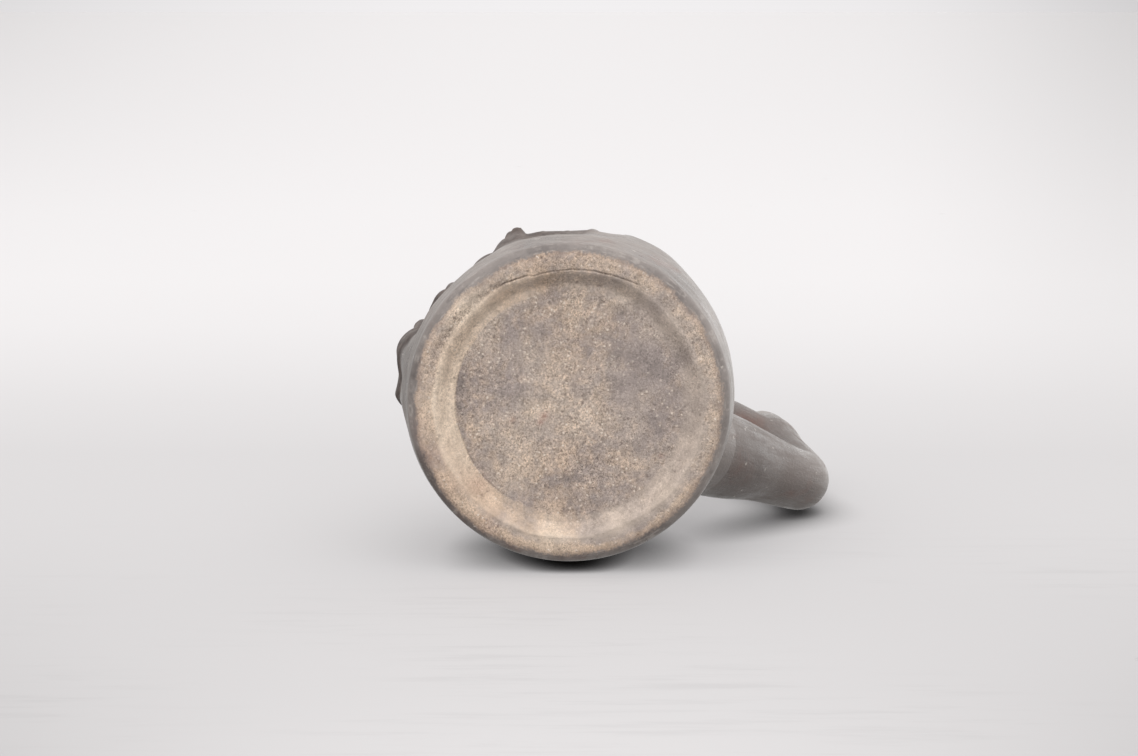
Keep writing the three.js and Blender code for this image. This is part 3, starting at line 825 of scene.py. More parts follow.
# %% [markdown]
# The underside is what a visitor sees when the bottle lies down, so it gets its own fine mesh:
# a polar grid whose height follows the worn ring, the slope and the sunk middle. The seam
# between slab and ring opened into a crack on one side in drying, and frayed into a rough
# hollow further on. Rubbing on shelves wore the ring unevenly. Places on it are given as they are
# read off the photograph: an angle, counter-clockwise from the right, and a radius.

# %% Crack in the underside
FOOT_FLAT_OUTER = float(turned_radius(FOOT_CORNER_HEIGHT)) - FOOT_CORNER_WIDTH
FOOT_FLAT_INNER = FOOT_FLAT_OUTER - FOOT_FLAT_WIDTH
FRONT_ANGLE = 152.6  # where the bottle's front points in the photograph
CRACK_RADIUS = 51.0
CRACK_MIDDLE = 92.0  # the angle at which the crack comes nearest to the middle
CRACK_SPAN = (60.0, 121.0)
FRAYED_SPAN = (117.0, 162.0)
CRACK_WIDTH, FRAYED_WIDTH = 0.24, 1.7


def shown_angle(points):
    return (FRONT_ANGLE - azimuth_of(points) + 180.0) % 360.0 - 180.0


def crack_line(points):
    """Radius of the open seam at each point's angle."""
    angle = shown_angle(points)
    bend = ((angle - CRACK_MIDDLE) / 45.0) ** 2 * np.where(angle > CRACK_MIDDLE, 1.1, 2.6)
    on_ring = points / np.maximum(radius_of(points), 0.1)[..., None] * CRACK_RADIUS
    return CRACK_RADIUS - 0.3 + bend + 0.7 * wander(on_ring, 9.0, 2.0) + 0.4 * wander(on_ring, 2.8, 5.0)


def crack_shares(points):
    """How much each point belongs to the thin crack and to the frayed hollow after it."""
    angle = shown_angle(points)
    away = radius_of(points) - crack_line(points)
    open_here = np.clip(0.6 + 0.5 * wander(points, 7.0, 23.0), 0.25, 1.0)
    ragged = np.clip(0.6 + 0.5 * wander(points, 4.2, 17.0) + 0.4 * wander(points, 1.4, 19.0), 0.0, 1.0)
    thin = between(*CRACK_SPAN, 5.0, angle) * bell(away, CRACK_WIDTH) * open_here
    frayed = between(*FRAYED_SPAN, 9.0, angle) * bell(away - 0.3, FRAYED_WIDTH) * ragged
    return thin, frayed


print("foot's flat ring from", round(FOOT_FLAT_INNER, 1), "to", round(FOOT_FLAT_OUTER, 1), "mm")

# %% Underside
SKIRT_TOP = 6.6
SKIRT_RISES = (-0.8, 0.0, 1.6)  # the skirt goes up inside the chamber's wall
STEP_RADIUS = 42.6
WIPED_RADIUS, ARC_RADIUS = 43.5, 36.5
CRACK_DEPTH, FRAYED_DEPTH, WIPED_DEPTH, ARC_DEPTH, STEP_DEPTH = 0.7, 0.8, 0.08, 0.05, 0.22
WIDE_RINGS_TO, CLOSE_RINGS_TO = 42.0, 55.0  # radii: the rings stand closer over the slope and the ring
COLUMNS = 840


def underside_height(points, radius):
    """How far the underside lies above the table, up to the flat ring's outer edge."""
    low, mid, fine = wander(points, 38.0, 3.0), wander(points, 11.0, 7.0), wander(points, 2.2, 11.0)
    angle = shown_angle(points)
    edge = FOOT_FLAT_INNER + 0.3 + 1.1 * low + 0.6 * mid
    slope = fade(edge - BASE_SLOPE_WIDTH - 0.6 + 1.2 * low, edge + 0.8, radius)
    height = slope * (BASE_RECESS + 0.5 * low + 0.22 * mid) + 0.07 * fine * (0.4 + slope)
    height += ease(edge, edge + 1.5, radius) * (0.12 + 0.35 * low * low + 0.12 * mid)
    thin, frayed = crack_shares(points)
    height += CRACK_DEPTH * thin + FRAYED_DEPTH * frayed
    # wiping marks and a scratched arc round the edge of the sunk middle
    wiped = np.sin(radius * 5.2 + 2.0 * mid) * bell(radius - WIPED_RADIUS, 2.2)
    height += WIPED_DEPTH * wiped * ease(140.0, 165.0, np.abs(angle))
    arc = np.sin(radius * 9.0 + 5.0 * low) * bell(radius - ARC_RADIUS - 2.0 * mid, 3.0)
    height += ARC_DEPTH * arc * between(160.0, 215.0, 12.0, angle % 360.0)
    # the sunk middle ends in a small sharp step on the left
    step = bell(radius - STEP_RADIUS - 0.5 * mid, 0.4) * between(158.0, 232.0, 8.0, angle % 360.0)
    return np.maximum(height + STEP_DEPTH * step, 0.0)


def underside():
    radii = np.concatenate([
        np.linspace(0.4, WIDE_RINGS_TO, 34, endpoint=False),
        np.linspace(WIDE_RINGS_TO, CLOSE_RINGS_TO, 50, endpoint=False),
        FOOT_FLAT_OUTER + FOOT_CORNER_WIDTH * np.sin(np.linspace(0.14, 1.0, 16) * math.pi / 2),
    ])
    azimuths = np.linspace(-180.0, 180.0, COLUMNS, endpoint=False)
    radius, azimuth = np.meshgrid(radii, azimuths, indexing="ij")
    rings = around(azimuth) * radius[..., None]
    corner = np.clip((radius - FOOT_FLAT_OUTER) / FOOT_CORNER_WIDTH, 0.0, 1.0)
    rise = FOOT_CORNER_HEIGHT * (1.0 - np.sqrt(np.maximum(1.0 - corner ** 2, 0.0)))
    rings[..., 2] = underside_height(rings, radius) * fade(0.2, 1.0, corner) + rise
    height, azimuth = np.meshgrid(SKIRT_TOP + np.array(SKIRT_RISES), azimuths, indexing="ij")
    skirt = surface_point(azimuth, height)
    inwards = 0.04 + 0.3 * ease(SKIRT_TOP, SKIRT_TOP + SKIRT_RISES[-1], height)
    skirt += around(azimuth) * (hand_work(skirt) - inwards)[..., None]
    lid, middle = skirt[-1:] * (0.97, 0.97, 1.0), skirt[-1:] * (0.05, 0.05, 1.0)
    return skin("underside", np.concatenate([rings, skirt, lid, middle + (0.0, 0.0, 3.0)]))


base = underside()
print("underside:", len(base.data.polygons), "faces")

# %% [markdown]
# The finishes come next. Burnished, smoke-fired clay is nearly black in places and grey-brown in
# others, with a dull sheen broken by the strokes of the rubbing pebble. The underside was never
# burnished: bare gritty clay, worn to a tan on the ring. Effects that several finishes share are
# node groups, which hand out only colours, masks and heights. The first one is specks, single
# grains of temper that the burnishing laid bare: a cell pattern in which only some cells have one.

# %% Specks
def srgb(red, green, blue):
    """A colour as it is read off a photograph, 0 to 255, as a shader wants it."""
    def linear(value):
        value /= 255.0
        return value / 12.92 if value <= 0.04045 else ((value + 0.055) / 1.055) ** 2.4
    return (linear(red), linear(green), linear(blue), 1.0)


def specks_group():
    inputs = {"Place": "Vector", "Size": 250.0, "Kept": 0.2, "Reach": 0.17}
    n, given, out = group("specks", inputs, {"Mask": "Float"})
    cells = n.add("ShaderNodeTexVoronoi", Vector=given["Place"], Scale=given["Size"])
    chance = n.add("ShaderNodeSeparateColor", Color=cells.outputs["Color"]).outputs[0]
    ragged = n.span(n.cloud(given["Place"], 2200.0, 1.0), 0.35, 0.65, -0.08, 0.08)
    away = n.plus(cells.outputs["Distance"], ragged)
    near = n.span(away, n.times(given["Reach"], 0.4), given["Reach"], 1.0, 0.0)
    n.feed(out["Mask"], n.times(near, n.math("LESS_THAN", chance, given["Kept"])))
    return n.tree


SPECKS = specks_group()
print("group:", SPECKS.name)


# %% [markdown]
# Burnish is the finish of the outside. Smoke left wide dark and pale patches and some reddish
# ones, and the pebble left strokes. Strokes run round the chamber and along the arms, so they
# read their own coordinates, which each mesh carries as the attribute stroke. Where the clay
# took much smoke, the fine strokes stand out less.

# %% Burnish
DARK_CLAY, PALE_CLAY, MOTTLED = srgb(108, 101, 98), srgb(140, 132, 128), srgb(156, 148, 144)
DARK_STROKE, PALE_STROKE = srgb(82, 77, 76), srgb(166, 159, 155)
DARK_HAIR, PALE_HAIR = srgb(78, 72, 70), srgb(186, 178, 172)
SOOT, REDDISH, TEMPER = srgb(66, 55, 51), srgb(120, 88, 78), srgb(206, 198, 190)


def burnish_group():
    n, given, out = group("burnish", {"Place": "Vector", "Stroke": "Vector", "Smoke": 0.0},
                          {"Color": "Color", "Roughness": "Float", "Height": "Float"})
    place, stroke, smoke = given["Place"], given["Stroke"], given["Smoke"]
    patches = n.cloud(place, 21.0, 3.0, 0.5, 0.4)
    rusty = n.cloud(place, 38.0, 4.0, 0.6, 0.5)
    mottle = n.cloud(place, 150.0, 5.0, 0.65)
    strokes = n.cloud(stroke, 420.0, 5.0, 0.6)
    hairs = n.cloud(stroke, 1900.0, 3.0, 0.7)
    bright = n.span(smoke, 0.1, 0.55, 1.0, 0.25)
    grains = n.used(SPECKS, Place=place, Size=260.0, Kept=0.1, Reach=0.16)["Mask"]
    n.feed(out["Color"], n.layers(
        n.mix(n.span(patches, 0.36, 0.62), DARK_CLAY, PALE_CLAY),
        (n.span(mottle, 0.42, 0.72, 0.0, 0.5), MOTTLED),
        (n.span(strokes, 0.5, 0.34, 0.0, 0.22), DARK_STROKE),
        (n.span(strokes, 0.52, 0.7, 0.0, n.times(bright, 0.2)), PALE_STROKE),
        (n.span(hairs, 0.48, 0.3, 0.0, n.times(bright, 0.36)), DARK_HAIR),
        (n.times(smoke, 0.85), SOOT),
        (n.span(rusty, 0.54, 0.72, 0.0, 0.4), REDDISH),
        (n.span(hairs, 0.52, 0.7, 0.0, n.times(bright, 0.4)), PALE_HAIR),
        (n.times(grains, 0.7), TEMPER),
    ))
    rough = n.plus(n.span(strokes, 0.3, 0.7, 0.22, 0.46), n.span(mottle, 0.4, 0.7, 0.0, 0.16))
    n.feed(out["Roughness"], rough)
    n.feed(out["Height"], n.plus(n.times(strokes, 0.7), n.times(hairs, 0.2), n.times(mottle, 0.6)))
    return n.tree


BURNISH = burnish_group()
print("group:", BURNISH.name)


# %% [markdown]
# Bare clay is what the underside shows: a paste full of fine pale grit. Warm and Pale set its
# broad colour from place to place, and Grain says how much of the grit stands out. A Pale below
# nothing makes it dull.

# %% Bare clay
GREY_PASTE, TAN_PASTE = srgb(157, 145, 140), srgb(193, 170, 150)
PALE_PASTE, DULL_PASTE = srgb(223, 205, 186), srgb(112, 106, 106)
GRIT, PIT = srgb(228, 214, 201), srgb(112, 99, 93)


def bare_group():
    n, given, out = group("bare_clay", {"Place": "Vector", "Warm": 0.5, "Pale": 0.5, "Grain": 0.5},
                          {"Color": "Color", "Height": "Float"})
    place, pale = given["Place"], given["Pale"]
    grains = n.cloud(place, 1350.0, 3.0, 0.8, 0.9)
    clumps = n.cloud(place, 330.0, 4.0, 0.6)
    dust = n.cloud(place, 190.0, 5.0, 0.7, 0.3)
    blotches = n.cloud(place, 95.0, 4.0, 0.6, 0.6)
    warm = n.plus(given["Warm"], n.span(blotches, 0.35, 0.65, -0.17, 0.17),
                  n.span(clumps, 0.35, 0.65, -0.12, 0.12))
    color = n.layers(
        n.mix(n.span(warm, 0.0, 1.0), GREY_PASTE, TAN_PASTE),
        (n.times(n.math("MAXIMUM", pale, 0.0), 0.85), PALE_PASTE),
        (n.math("MAXIMUM", n.times(pale, -1.0), 0.0), DULL_PASTE),
    )
    color = n.mix(1.0, color, n.span(dust, 0.32, 0.68, 0.84, 1.14), "MULTIPLY")
    shown = n.times(given["Grain"], n.span(clumps, 0.3, 0.6, 0.6, 1.1))
    rise = n.math("MULTIPLY_ADD", n.span(grains, 0.3, 0.7, -0.8, 0.8), shown, 1.0)
    color = n.mix(1.0, color, rise, "MULTIPLY")
    grit = n.used(SPECKS, Place=place, Size=640.0, Kept=0.3, Reach=0.36)["Mask"]
    pits = n.used(SPECKS, Place=place, Size=430.0, Kept=0.25, Reach=0.33)["Mask"]
    strong = n.math("MINIMUM", n.times(shown, 1.7), 1.0)
    gathered = n.times(strong, n.span(blotches, 0.4, 0.6, 0.35, 1.0))
    n.feed(out["Color"], n.layers(color, (n.times(grit, gathered), GRIT), (n.times(pits, strong, 0.6), PIT)))
    rough = n.times(grains, n.span(given["Grain"], 0.0, 1.0, 0.4, 1.2))
    n.feed(out["Height"], n.plus(rough, n.times(clumps, 0.6), n.times(n.math("SUBTRACT", grit, pits), 0.4)))
    return n.tree


BARE = bare_group()
print("group:", BARE.name)


# %% [markdown]
# Each finish is a Principled shader fed by those groups. Coordinates are the object's own,
# centred on the chamber.

# %% Material helpers
BUMP_STRENGTH = 0.6


def material(name, specular):
    made = bpy.data.materials.new(name)
    made.use_nodes = True
    n = Nodes(made.node_tree)
    shader = made.node_tree.nodes["Principled BSDF"]
    n.fill(shader, Specular_IOR_Level=specular)
    place = n.moved(n.add("ShaderNodeTexCoord").outputs["Object"], Location=[-v * MM for v in AXIS])
    return made, n, shader, place


def finish(n, shader, color, roughness, height, depth):
    bump = n.add("ShaderNodeBump", Height=height, Distance=depth, Strength=BUMP_STRENGTH)
    n.fill(shader, Base_Color=color, Roughness=roughness, Normal=bump.outputs["Normal"])


def burnished(n, place):
    return n.used(BURNISH, Place=place, Stroke=n.mask("stroke", "Vector"), Smoke=n.mask("smoke"))


print("material helpers ready")

# %% [markdown]
# The outside is burnished clay. The tops of the crab's limbs and the sunk ground between them,
# where no pebble reached, stay matt, brown and dusty, and the limbs' darkest brown is painted shade.
# The arms of the stirrup took the most smoke and handling and mirror less, so they have the same
# finish with a weaker gloss.

# %% Outside
DARK_SOIL, PALE_SOIL, CRUMB = srgb(106, 91, 85), srgb(146, 129, 120), srgb(178, 164, 153)
# the darkest brown here is painted shade on the crab's limbs
SHADED_BROWN, PALE_BROWN, RED_STAIN = srgb(62, 52, 49), srgb(101, 88, 82), srgb(120, 82, 72)
MATT_ADDS = 0.36  # to the roughness of the burnish
GROUND_ROUGHNESS = 0.82


def outside_clay(name, specular):
    made, n, shader, place = material(name, specular)
    burnish = burnished(n, place)
    earth = n.cloud(place, 120.0, 5.0, 0.65, 0.4)
    crumbs = n.cloud(place, 900.0, 3.0, 0.65)
    streaks = n.cloud(place, 180.0, 5.0, 0.7, 0.6)
    soil = n.mix(n.span(earth, 0.38, 0.62), DARK_SOIL, PALE_SOIL)
    soil = n.mix(n.span(crumbs, 0.5, 0.66, 0.0, 0.5), soil, CRUMB)
    sunk = n.plus(n.mask("ground"), n.span(crumbs, 0.4, 0.6, -0.12, 0.12))
    # painted shade: the dark brown laid on the limbs' tops, where the clay is also matt
    matt_and_shade = n.times(n.mask("relief"), n.span(earth, 0.35, 0.6, 0.7, 1.0))
    color = n.layers(
        burnish["Color"],
        (matt_and_shade, n.mix(n.span(streaks, 0.4, 0.62, 0.0, 0.8), SHADED_BROWN, PALE_BROWN)),
        (n.span(sunk, 0.3, 0.75), soil),
        (n.times(n.mask("rust"), n.span(earth, 0.3, 0.6, 0.3, 0.8)), RED_STAIN),
    )
    rough = n.plus(burnish["Roughness"], n.times(matt_and_shade, MATT_ADDS))
    rough = n.math("MAXIMUM", rough, n.span(sunk, 0.3, 0.75, 0.0, GROUND_ROUGHNESS))
    height = n.plus(burnish["Height"], n.times(crumbs, sunk, 1.5))
    finish(n, shader, color, rough, height, depth=0.00035)
    return made


OUTSIDE = outside_clay("burnished_clay", specular=0.46)
SMOKED = outside_clay("smoked_clay", specular=0.27)
print("materials:", OUTSIDE.name, SMOKED.name)

# %% [markdown]
# The underside is bare clay. Past the worn edge of the ring the burnish of the chamber begins.
# That edge is ragged, so the distance to it, which the mesh carries as reach, gets a noise.

# %% Underside's clay
EDGE_TAN, RUST, DIRT = srgb(142, 118, 104), srgb(150, 84, 66), srgb(78, 66, 58)
BARE_ROUGHNESS = (0.84, 0.84, 0.84, 1.0)


def underside_clay():
    made, n, shader, place = material("worn_clay", specular=0.4)
    burnish = burnished(n, place)
    bare = n.used(BARE, Place=place, Warm=n.mask("warm"), Pale=n.mask("pale"), Grain=n.mask("grain"))
    reach = n.plus(n.mask("reach"), n.span(n.cloud(place, 130.0, 3.0, 0.6), 0.3, 0.7, -0.0006, 0.0006),
                   n.span(n.cloud(place, 1100.0, 2.0, 0.6), 0.35, 0.65, -0.0004, 0.0004))
    side = n.span(reach, -0.0009, 0.0011)
    grimy = n.span(n.cloud(place, 800.0, 3.0, 0.7), 0.35, 0.6, 0.45, 1.15)
    color = n.layers(
        bare["Color"],
        (n.span(reach, -0.0022, 0.0, 0.0, 0.35), EDGE_TAN),
        (side, burnish["Color"]),
        (n.times(n.mask("rust"), 0.7), RUST),
        (n.times(n.mask("dirt"), grimy), DIRT),
    )
    rough = n.mix(side, BARE_ROUGHNESS, burnish["Roughness"])
    height = n.mix(side, bare["Height"], burnish["Height"])
    finish(n, shader, color, rough, height, depth=0.00045)
    return made


UNDERSIDE = underside_clay()
print("material:", UNDERSIDE.name)


# %% [markdown]
# The finishes need to know where they are: on the sunk ground, on the worn ring, in the crack.
# Each such mask is a number for every point of a mesh, worked out by the same formulas that
# shaped it, and stored as an attribute. The coordinates of the strokes are stored beside them.

# %% Attributes
STROKE_STRETCH = 0.09


def dress(made, clay, strokes, masks):
    """Stores the strokes' coordinates and the masks, and gives the mesh its clay."""
    mesh = made.data
    mesh.attributes.new("stroke", "FLOAT_VECTOR", "POINT")
    mesh.attributes["stroke"].data.foreach_set("vector", (strokes * MM).astype(np.float32).ravel())
    for name, values in masks.items():
        values = np.broadcast_to(values, len(mesh.vertices)).astype(np.float32)
        mesh.attributes.new(name, "FLOAT", "POINT")
        mesh.attributes[name].data.foreach_set("value", values)
    mesh.materials.clear()
    mesh.materials.append(clay)
    for polygon in mesh.polygons:
        polygon.use_smooth = True
        polygon.material_index = 0
    print(made.name, "carries", ", ".join(masks))


def turned_strokes(points):
    """Strokes round the axis: fine up and down the wall, long round it."""
    radius = radius_of(points)
    flat = points[:, :2] / np.maximum(radius, 1.0)[:, None] * BODY_RADIUS
    return np.column_stack([flat * STROKE_STRETCH, points[:, 2] - radius])


def arm_strokes(points, batch=4000):
    """Strokes along an arm: fine round the tube, long along its line."""
    lines = (LOWER_LINE, UPPER_LINE)
    line = np.concatenate(lines)
    travels = np.concatenate([np.arange(len(each)) * length_of(each) / len(each) for each in lines])
    nearest = np.empty(len(points), int)
    for start in range(0, len(points), batch):
        gaps = points[start:start + batch, None, 1:] - line[None, :, 1:]
        nearest[start:start + batch] = (gaps ** 2).sum(2).argmin(1)
    ahead = unit(line[np.minimum(nearest + 1, len(line) - 1)] - line[np.maximum(nearest - 1, 0)])
    off = points - line[nearest]
    over = off[:, 1] * -ahead[:, 2] + off[:, 2] * ahead[:, 1]
    return np.column_stack([off[:, 0], over, travels[nearest] * STROKE_STRETCH])


print("strokes are stretched", round(1.0 / STROKE_STRETCH), "times")

# %% [markdown]
# Smoke is darkest on the arms. It thins out on to the chamber and up the spout, and it is thinned
# round the elbow, a painted highlight. On the front half the masks part three things: the sunk
# ground, the matt upper sides of the limbs, brown with painted shade, and the flanks below them,
# which took more smoke.

# %% Masks of the chamber and the stirrup
ROOTS = [(lower_root + 4.0, LOWER_ROOT_HEIGHT + 4.0), (UPPER_ROOT_REACH, upper_root + 4.0)]  # reach, height
RED_PATCH, RED_PATCH_SIZE, RED_PATCH_SHARE = (6.0, 85.0, 137.0), 7.0, 0.8
DOME_SQUASH = (1.0, 1.0, 0.62)  # makes the dome nearly a ball about its middle
DOME_MIDDLE = (0.0, 0.0, 21.0)
RIGHT_SIDE = 22.0  # azimuth just past the right claw
MASS_TOP = 9.0
SMOKE_REACH, HIGHLIGHT_REACH = 32.0, 22.0


def smoked(points):
    gaps = [np.linalg.norm(points - (0.0, *root), axis=1) for root in ROOTS]
    near = bell(np.minimum(*gaps), SMOKE_REACH)
    # painted highlight: the smoke is thinned round the elbow, so that it shows paler
    wear_and_highlight = bell(np.linalg.norm(points - (0.0, ELBOW_REACH, ELBOW_HEIGHT), axis=1), HIGHLIGHT_REACH)
    off_wall = np.linalg.norm(points * DOME_SQUASH - DOME_MIDDLE, axis=1) - BODY_RADIUS
    pale_end = ease(SPOUT_SEAT - 26.0, SPOUT_SEAT + 8.0, points[:, 2])
    dark = np.maximum(0.6 * near, 0.68 * ease(-6.0, 12.0, off_wall))
    return dark * (1.0 - 0.8 * pale_end) * (1.0 - 0.5 * wear_and_highlight) + 0.14 * wander(points, 26.0, 43.0)


def wall_smoke(points):
    return 0.06 + 0.12 * wander(points, 40.0, 41.0)


def chamber_masks(points):
    azimuths, heights = azimuth_of(points), points[:, 2]
    on_right = azimuths > RIGHT_SIDE
    proud = radius_of(points) - surface_radius(azimuths, heights)
    on_wall = fade(84.0, 90.0, heights)
    side_fade = fade(60.0, 82.0, np.abs(azimuths) + 7.0 * wander(points, 9.0, 61.0))
    ground = ground_share(azimuths, heights) * on_wall * (0.35 + 0.65 * side_fade)
    flank = relief_mass(azimuths, heights) * (azimuths < RIGHT_SIDE) / MASS_TOP
    brown_from = np.where(on_right, 11.0 + 16.0 * ease(54.0, 76.0, azimuths), 23.5)
    brown_from += 4.0 * wander(points, 8.0, 31.0)
    # the brown on the proud limbs is partly their matt clay and partly painted shade
    brown = ease(0.4, 1.6, proud) * ground_share(azimuths, heights + 8.0) * on_wall * side_fade
    brown *= ease(brown_from - 2.0, brown_from + np.where(on_right, 8.0, 2.0), heights)
    brown *= np.where(on_right, 0.88, 1.0) * (1.0 - 0.45 * ease(38.0, 56.0, heights))
    return {
        "ground": ground * np.exp(-np.maximum(proud, 0.0) / 1.3),
        "smoke": np.clip(np.maximum(wall_smoke(points) + 0.45 * flank, smoked(points)), 0.0, 1.0),
        "relief": brown,
        "rust": 0.0,
    }


def stirrup_masks(points):
    red = RED_PATCH_SHARE * bell(np.linalg.norm(points - RED_PATCH, axis=1), RED_PATCH_SIZE)
    return {"ground": 0.0, "smoke": np.clip(smoked(points), 0.0, 1.0), "relief": 0.0, "rust": red}


points = local_points(chamber)
dress(chamber, OUTSIDE, turned_strokes(points), chamber_masks(points))
points = local_points(stirrup)
dress(stirrup, SMOKED, arm_strokes(points), stirrup_masks(points))

# %% [markdown]
# On the underside the broad colours have their places too. Each patch is an angle and radius as
# read off the photograph, a size, and how much it adds.

# %% Patches of the underside
WARM_PATCHES = [
    (185, 53, 14, 0.35), (217, 54, 15, 0.5), (150, 52, 14, 0.1), (262, 54, 14, 0.25), (100, 54, 16, 0.1),
    (200, 6, 12, 0.14), (40, 38, 14, -0.12), (140, 32, 13, -0.16), (5, 34, 13, -0.16), (250, 32, 14, 0.12),
    (125, 47, 9, 0.25),
]
PALE_PATCHES = [
    (178, 48, 6, 0.35), (190, 55, 12, 0.18), (0, 33, 12, 0.12), (262, 47.5, 6, 0.3), (290, 47.5, 6, 0.3),
    (318, 48, 6, 0.25), (345, 49, 9, 0.2), (10, 49, 9, 0.18), (200, 10, 16, 0.18), (135, 54, 11, 0.65),
    (112, 47, 7, 0.45), (86, 46, 7, 0.25), (130, 46, 7, 0.4), (147, 46, 7, 0.3), (62, 46, 8, 0.3),
    (38, 46, 8, 0.25), (262, 55, 8, 0.2), (133, 23, 8, 0.22), (190, 12, 10, 0.12), (326, 11, 9, 0.12),
    (233, 33, 10, 0.2),
]
DULL_PATCHES = [
    (95, 55, 14, 0.25), (275, 30, 14, 0.4), (172, 38, 9, 0.4), (155, 24, 8, 0.2), (62, 36, 8, 0.15),
    (102, 42, 7, 0.15), (129, 40, 8, 0.22), (22, 37, 9, 0.3), (351, 38, 8, 0.3), (90, 24, 7, 0.12),
]
RUST_SPOTS = [
    (206, 10.2, 1.5, 0.55), (213, 12.8, 1.2, 0.5), (196, 22, 0.9, 0.4), (330, 40, 0.8, 0.4),
    (200, 54, 5, 0.16), (222, 45.5, 4, 0.2), (236, 54, 5, 0.14), (188, 56, 5, 0.1), (214, 52, 6, 0.1),
]
GRAINY_PATCH = (220, 12, 26, 0.12)


def patched(points, patches):
    total = np.zeros(len(points))
    for angle, radius, size, amount in patches:
        turn = math.radians(FRONT_ANGLE - angle)
        middle = np.array((math.sin(turn), -math.cos(turn))) * radius
        total += amount * bell(np.linalg.norm(points[:, :2] - middle, axis=1), size)
    return total


print("patches:", len(WARM_PATCHES + PALE_PATCHES + DULL_PATCHES + RUST_SPOTS))

# %% [markdown]
# The rest follows the light in the photograph and the potter's work: the slope is pale on the
# left and cool on the right, the lower ring has a mauve band inside a warm one, grain shows most
# on the sunk middle, and dirt sits in the crack, in the scratches and along the step.

# %% Masks of the underside
WORN_EDGE = 57.2  # the radius at which the burnish begins


def underside_masks(points):
    radii, angle = radius_of(points), shown_angle(points)
    low, mid = wander(points, 30.0, 13.0), wander(points, 9.0, 21.0)
    rightward, downward = np.cos(np.radians(angle)), -np.sin(np.radians(angle))
    leftward, downward_side = np.clip(-rightward, 0.0, 1.0), np.clip(downward, 0.0, 1.0)
    on_left = between(156.0, 234.0, 10.0, angle % 360.0)
    ring = ease(47.0, 51.0, radii + 1.2 * mid)
    step = STEP_RADIUS + 0.7 * mid
    slope = ease(step - 0.5, step + 0.7, radii) * fade(50.0, 52.0, radii + mid)
    inner = fade(step - 0.4, step + 0.2, radii) * ease(step - 6.0, step, radii)
    mauve_band = downward_side * between(50.0, 53.0, 1.0, radii + mid)
    thin, frayed = crack_shares(points)

    reach = radii - WORN_EDGE - 0.9 * low - 0.4 * np.cos(np.radians(angle - 225.0))
    reach -= points[:, 2] > FOOT_CORNER_HEIGHT
    warm = 0.3 + 0.2 * low + 0.1 * mid + 0.06 * ring + patched(points, WARM_PATCHES)
    warm += slope * (0.5 * leftward - 0.3 * np.clip(rightward + 0.2, 0.0, 1.0)) - 0.25 * inner * leftward
    warm += 0.4 * downward_side * ease(53.0, 55.0, radii + mid) - 0.14 * mauve_band
    pale = 0.14 + 0.14 * low + 0.14 * mid + patched(points, PALE_PATCHES) - patched(points, DULL_PATCHES)
    lit = 0.8 * leftward * between(155.0, 215.0, 12.0, angle % 360.0)
    lit += 0.2 * np.clip(0.5 * rightward + downward, 0.0, 1.0)
    pale += slope * lit - 0.1 * inner * leftward + 0.2 * mauve_band
    grain = 0.56 + 0.25 * low + 0.15 * mid - 0.2 * mauve_band - 0.06 * ring - 0.22 * slope
    grain += patched(points, [GRAINY_PATCH]) + 0.3 * frayed
    soft_band = between(55.0, 120.0, 8.0, angle) * bell(radii - 50.6, 1.6)
    edge_line = bell(radii - step + 0.2, 0.35) * (0.5 + 0.5 * wander(points, 6.0, 51.0))
    scratched = ease(0.3, 0.8, np.sin(radii * 7.0 + 6.0 * wander(points, 14.0, 53.0)))
    scratched *= ease(36.0, 38.0, radii) * inner
    soft_band += on_left * (3.0 * edge_line + 1.6 * scratched)
    return {
        "smoke": np.clip(wall_smoke(points), 0.0, 1.0),
        "reach": reach * MM,
        "warm": warm,
        "pale": np.clip(pale, -0.5, 1.0),
        "grain": np.clip(grain, 0.08, 1.0),
        "dirt": np.clip(0.85 * thin + 0.5 * frayed + 0.12 * soft_band, 0.0, 0.9),
        "rust": np.clip(patched(points, RUST_SPOTS), 0.0, 1.0),
    }


points = local_points(base)
dress(base, UNDERSIDE, turned_strokes(points), underside_masks(points))

# %% [markdown]
# Each dressed piece rides on the bottle's one body, and the imported pieces it stands for are hidden.

# %% Hand the pieces to the frame
UNDER = ("base_slab", "foot_ring")
HANDLE = ("stirrup_lower_arm", "stirrup_upper_arm", "spout")
for made, slot in ((base, "worn_clay"), (stirrup, "burnished_clay"), (chamber, "burnished_clay")):
    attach(made, "root")
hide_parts(*UNDER)
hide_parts(*HANDLE)
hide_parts(*[n for n in nodes if n not in UNDER + HANDLE])
print("pieces: underside, stirrup, chamber")

# %% [markdown]
# The stage is the pale table that the bottle lies on in the photograph. Its tone depends on the
# direction from the camera alone: it grows a little darker towards the viewer and the corners. The
# table and what the camera sees past its end share that tone, so no horizon shows.

# %% Backdrop
TABLE_TONES = [
    (0.0, 237), (0.14, 240), (0.28, 244), (0.37, 244), (0.43, 241), (0.48, 236), (0.53, 230), (0.6, 224),
    (0.7, 225), (0.8, 224), (0.91, 226), (1.0, 230),
]
CORNER_DARKENS, RIGHT_EDGE_DARKENS = 0.17, 0.11
BLACK = (0.0, 0.0, 0.0, 1.0)


def grey(value):
    return srgb(value + 1, value - 1, value)


def tone_ramp(n, value, tones):
    made = n.add("ShaderNodeValToRGB", Fac=value)
    elements = made.color_ramp.elements
    while len(elements) < len(tones):
        elements.new(0.5)
    for element, (place, tone) in zip(elements, tones):
        element.position = place
        element.color = grey(tone)
    return made.outputs["Color"]


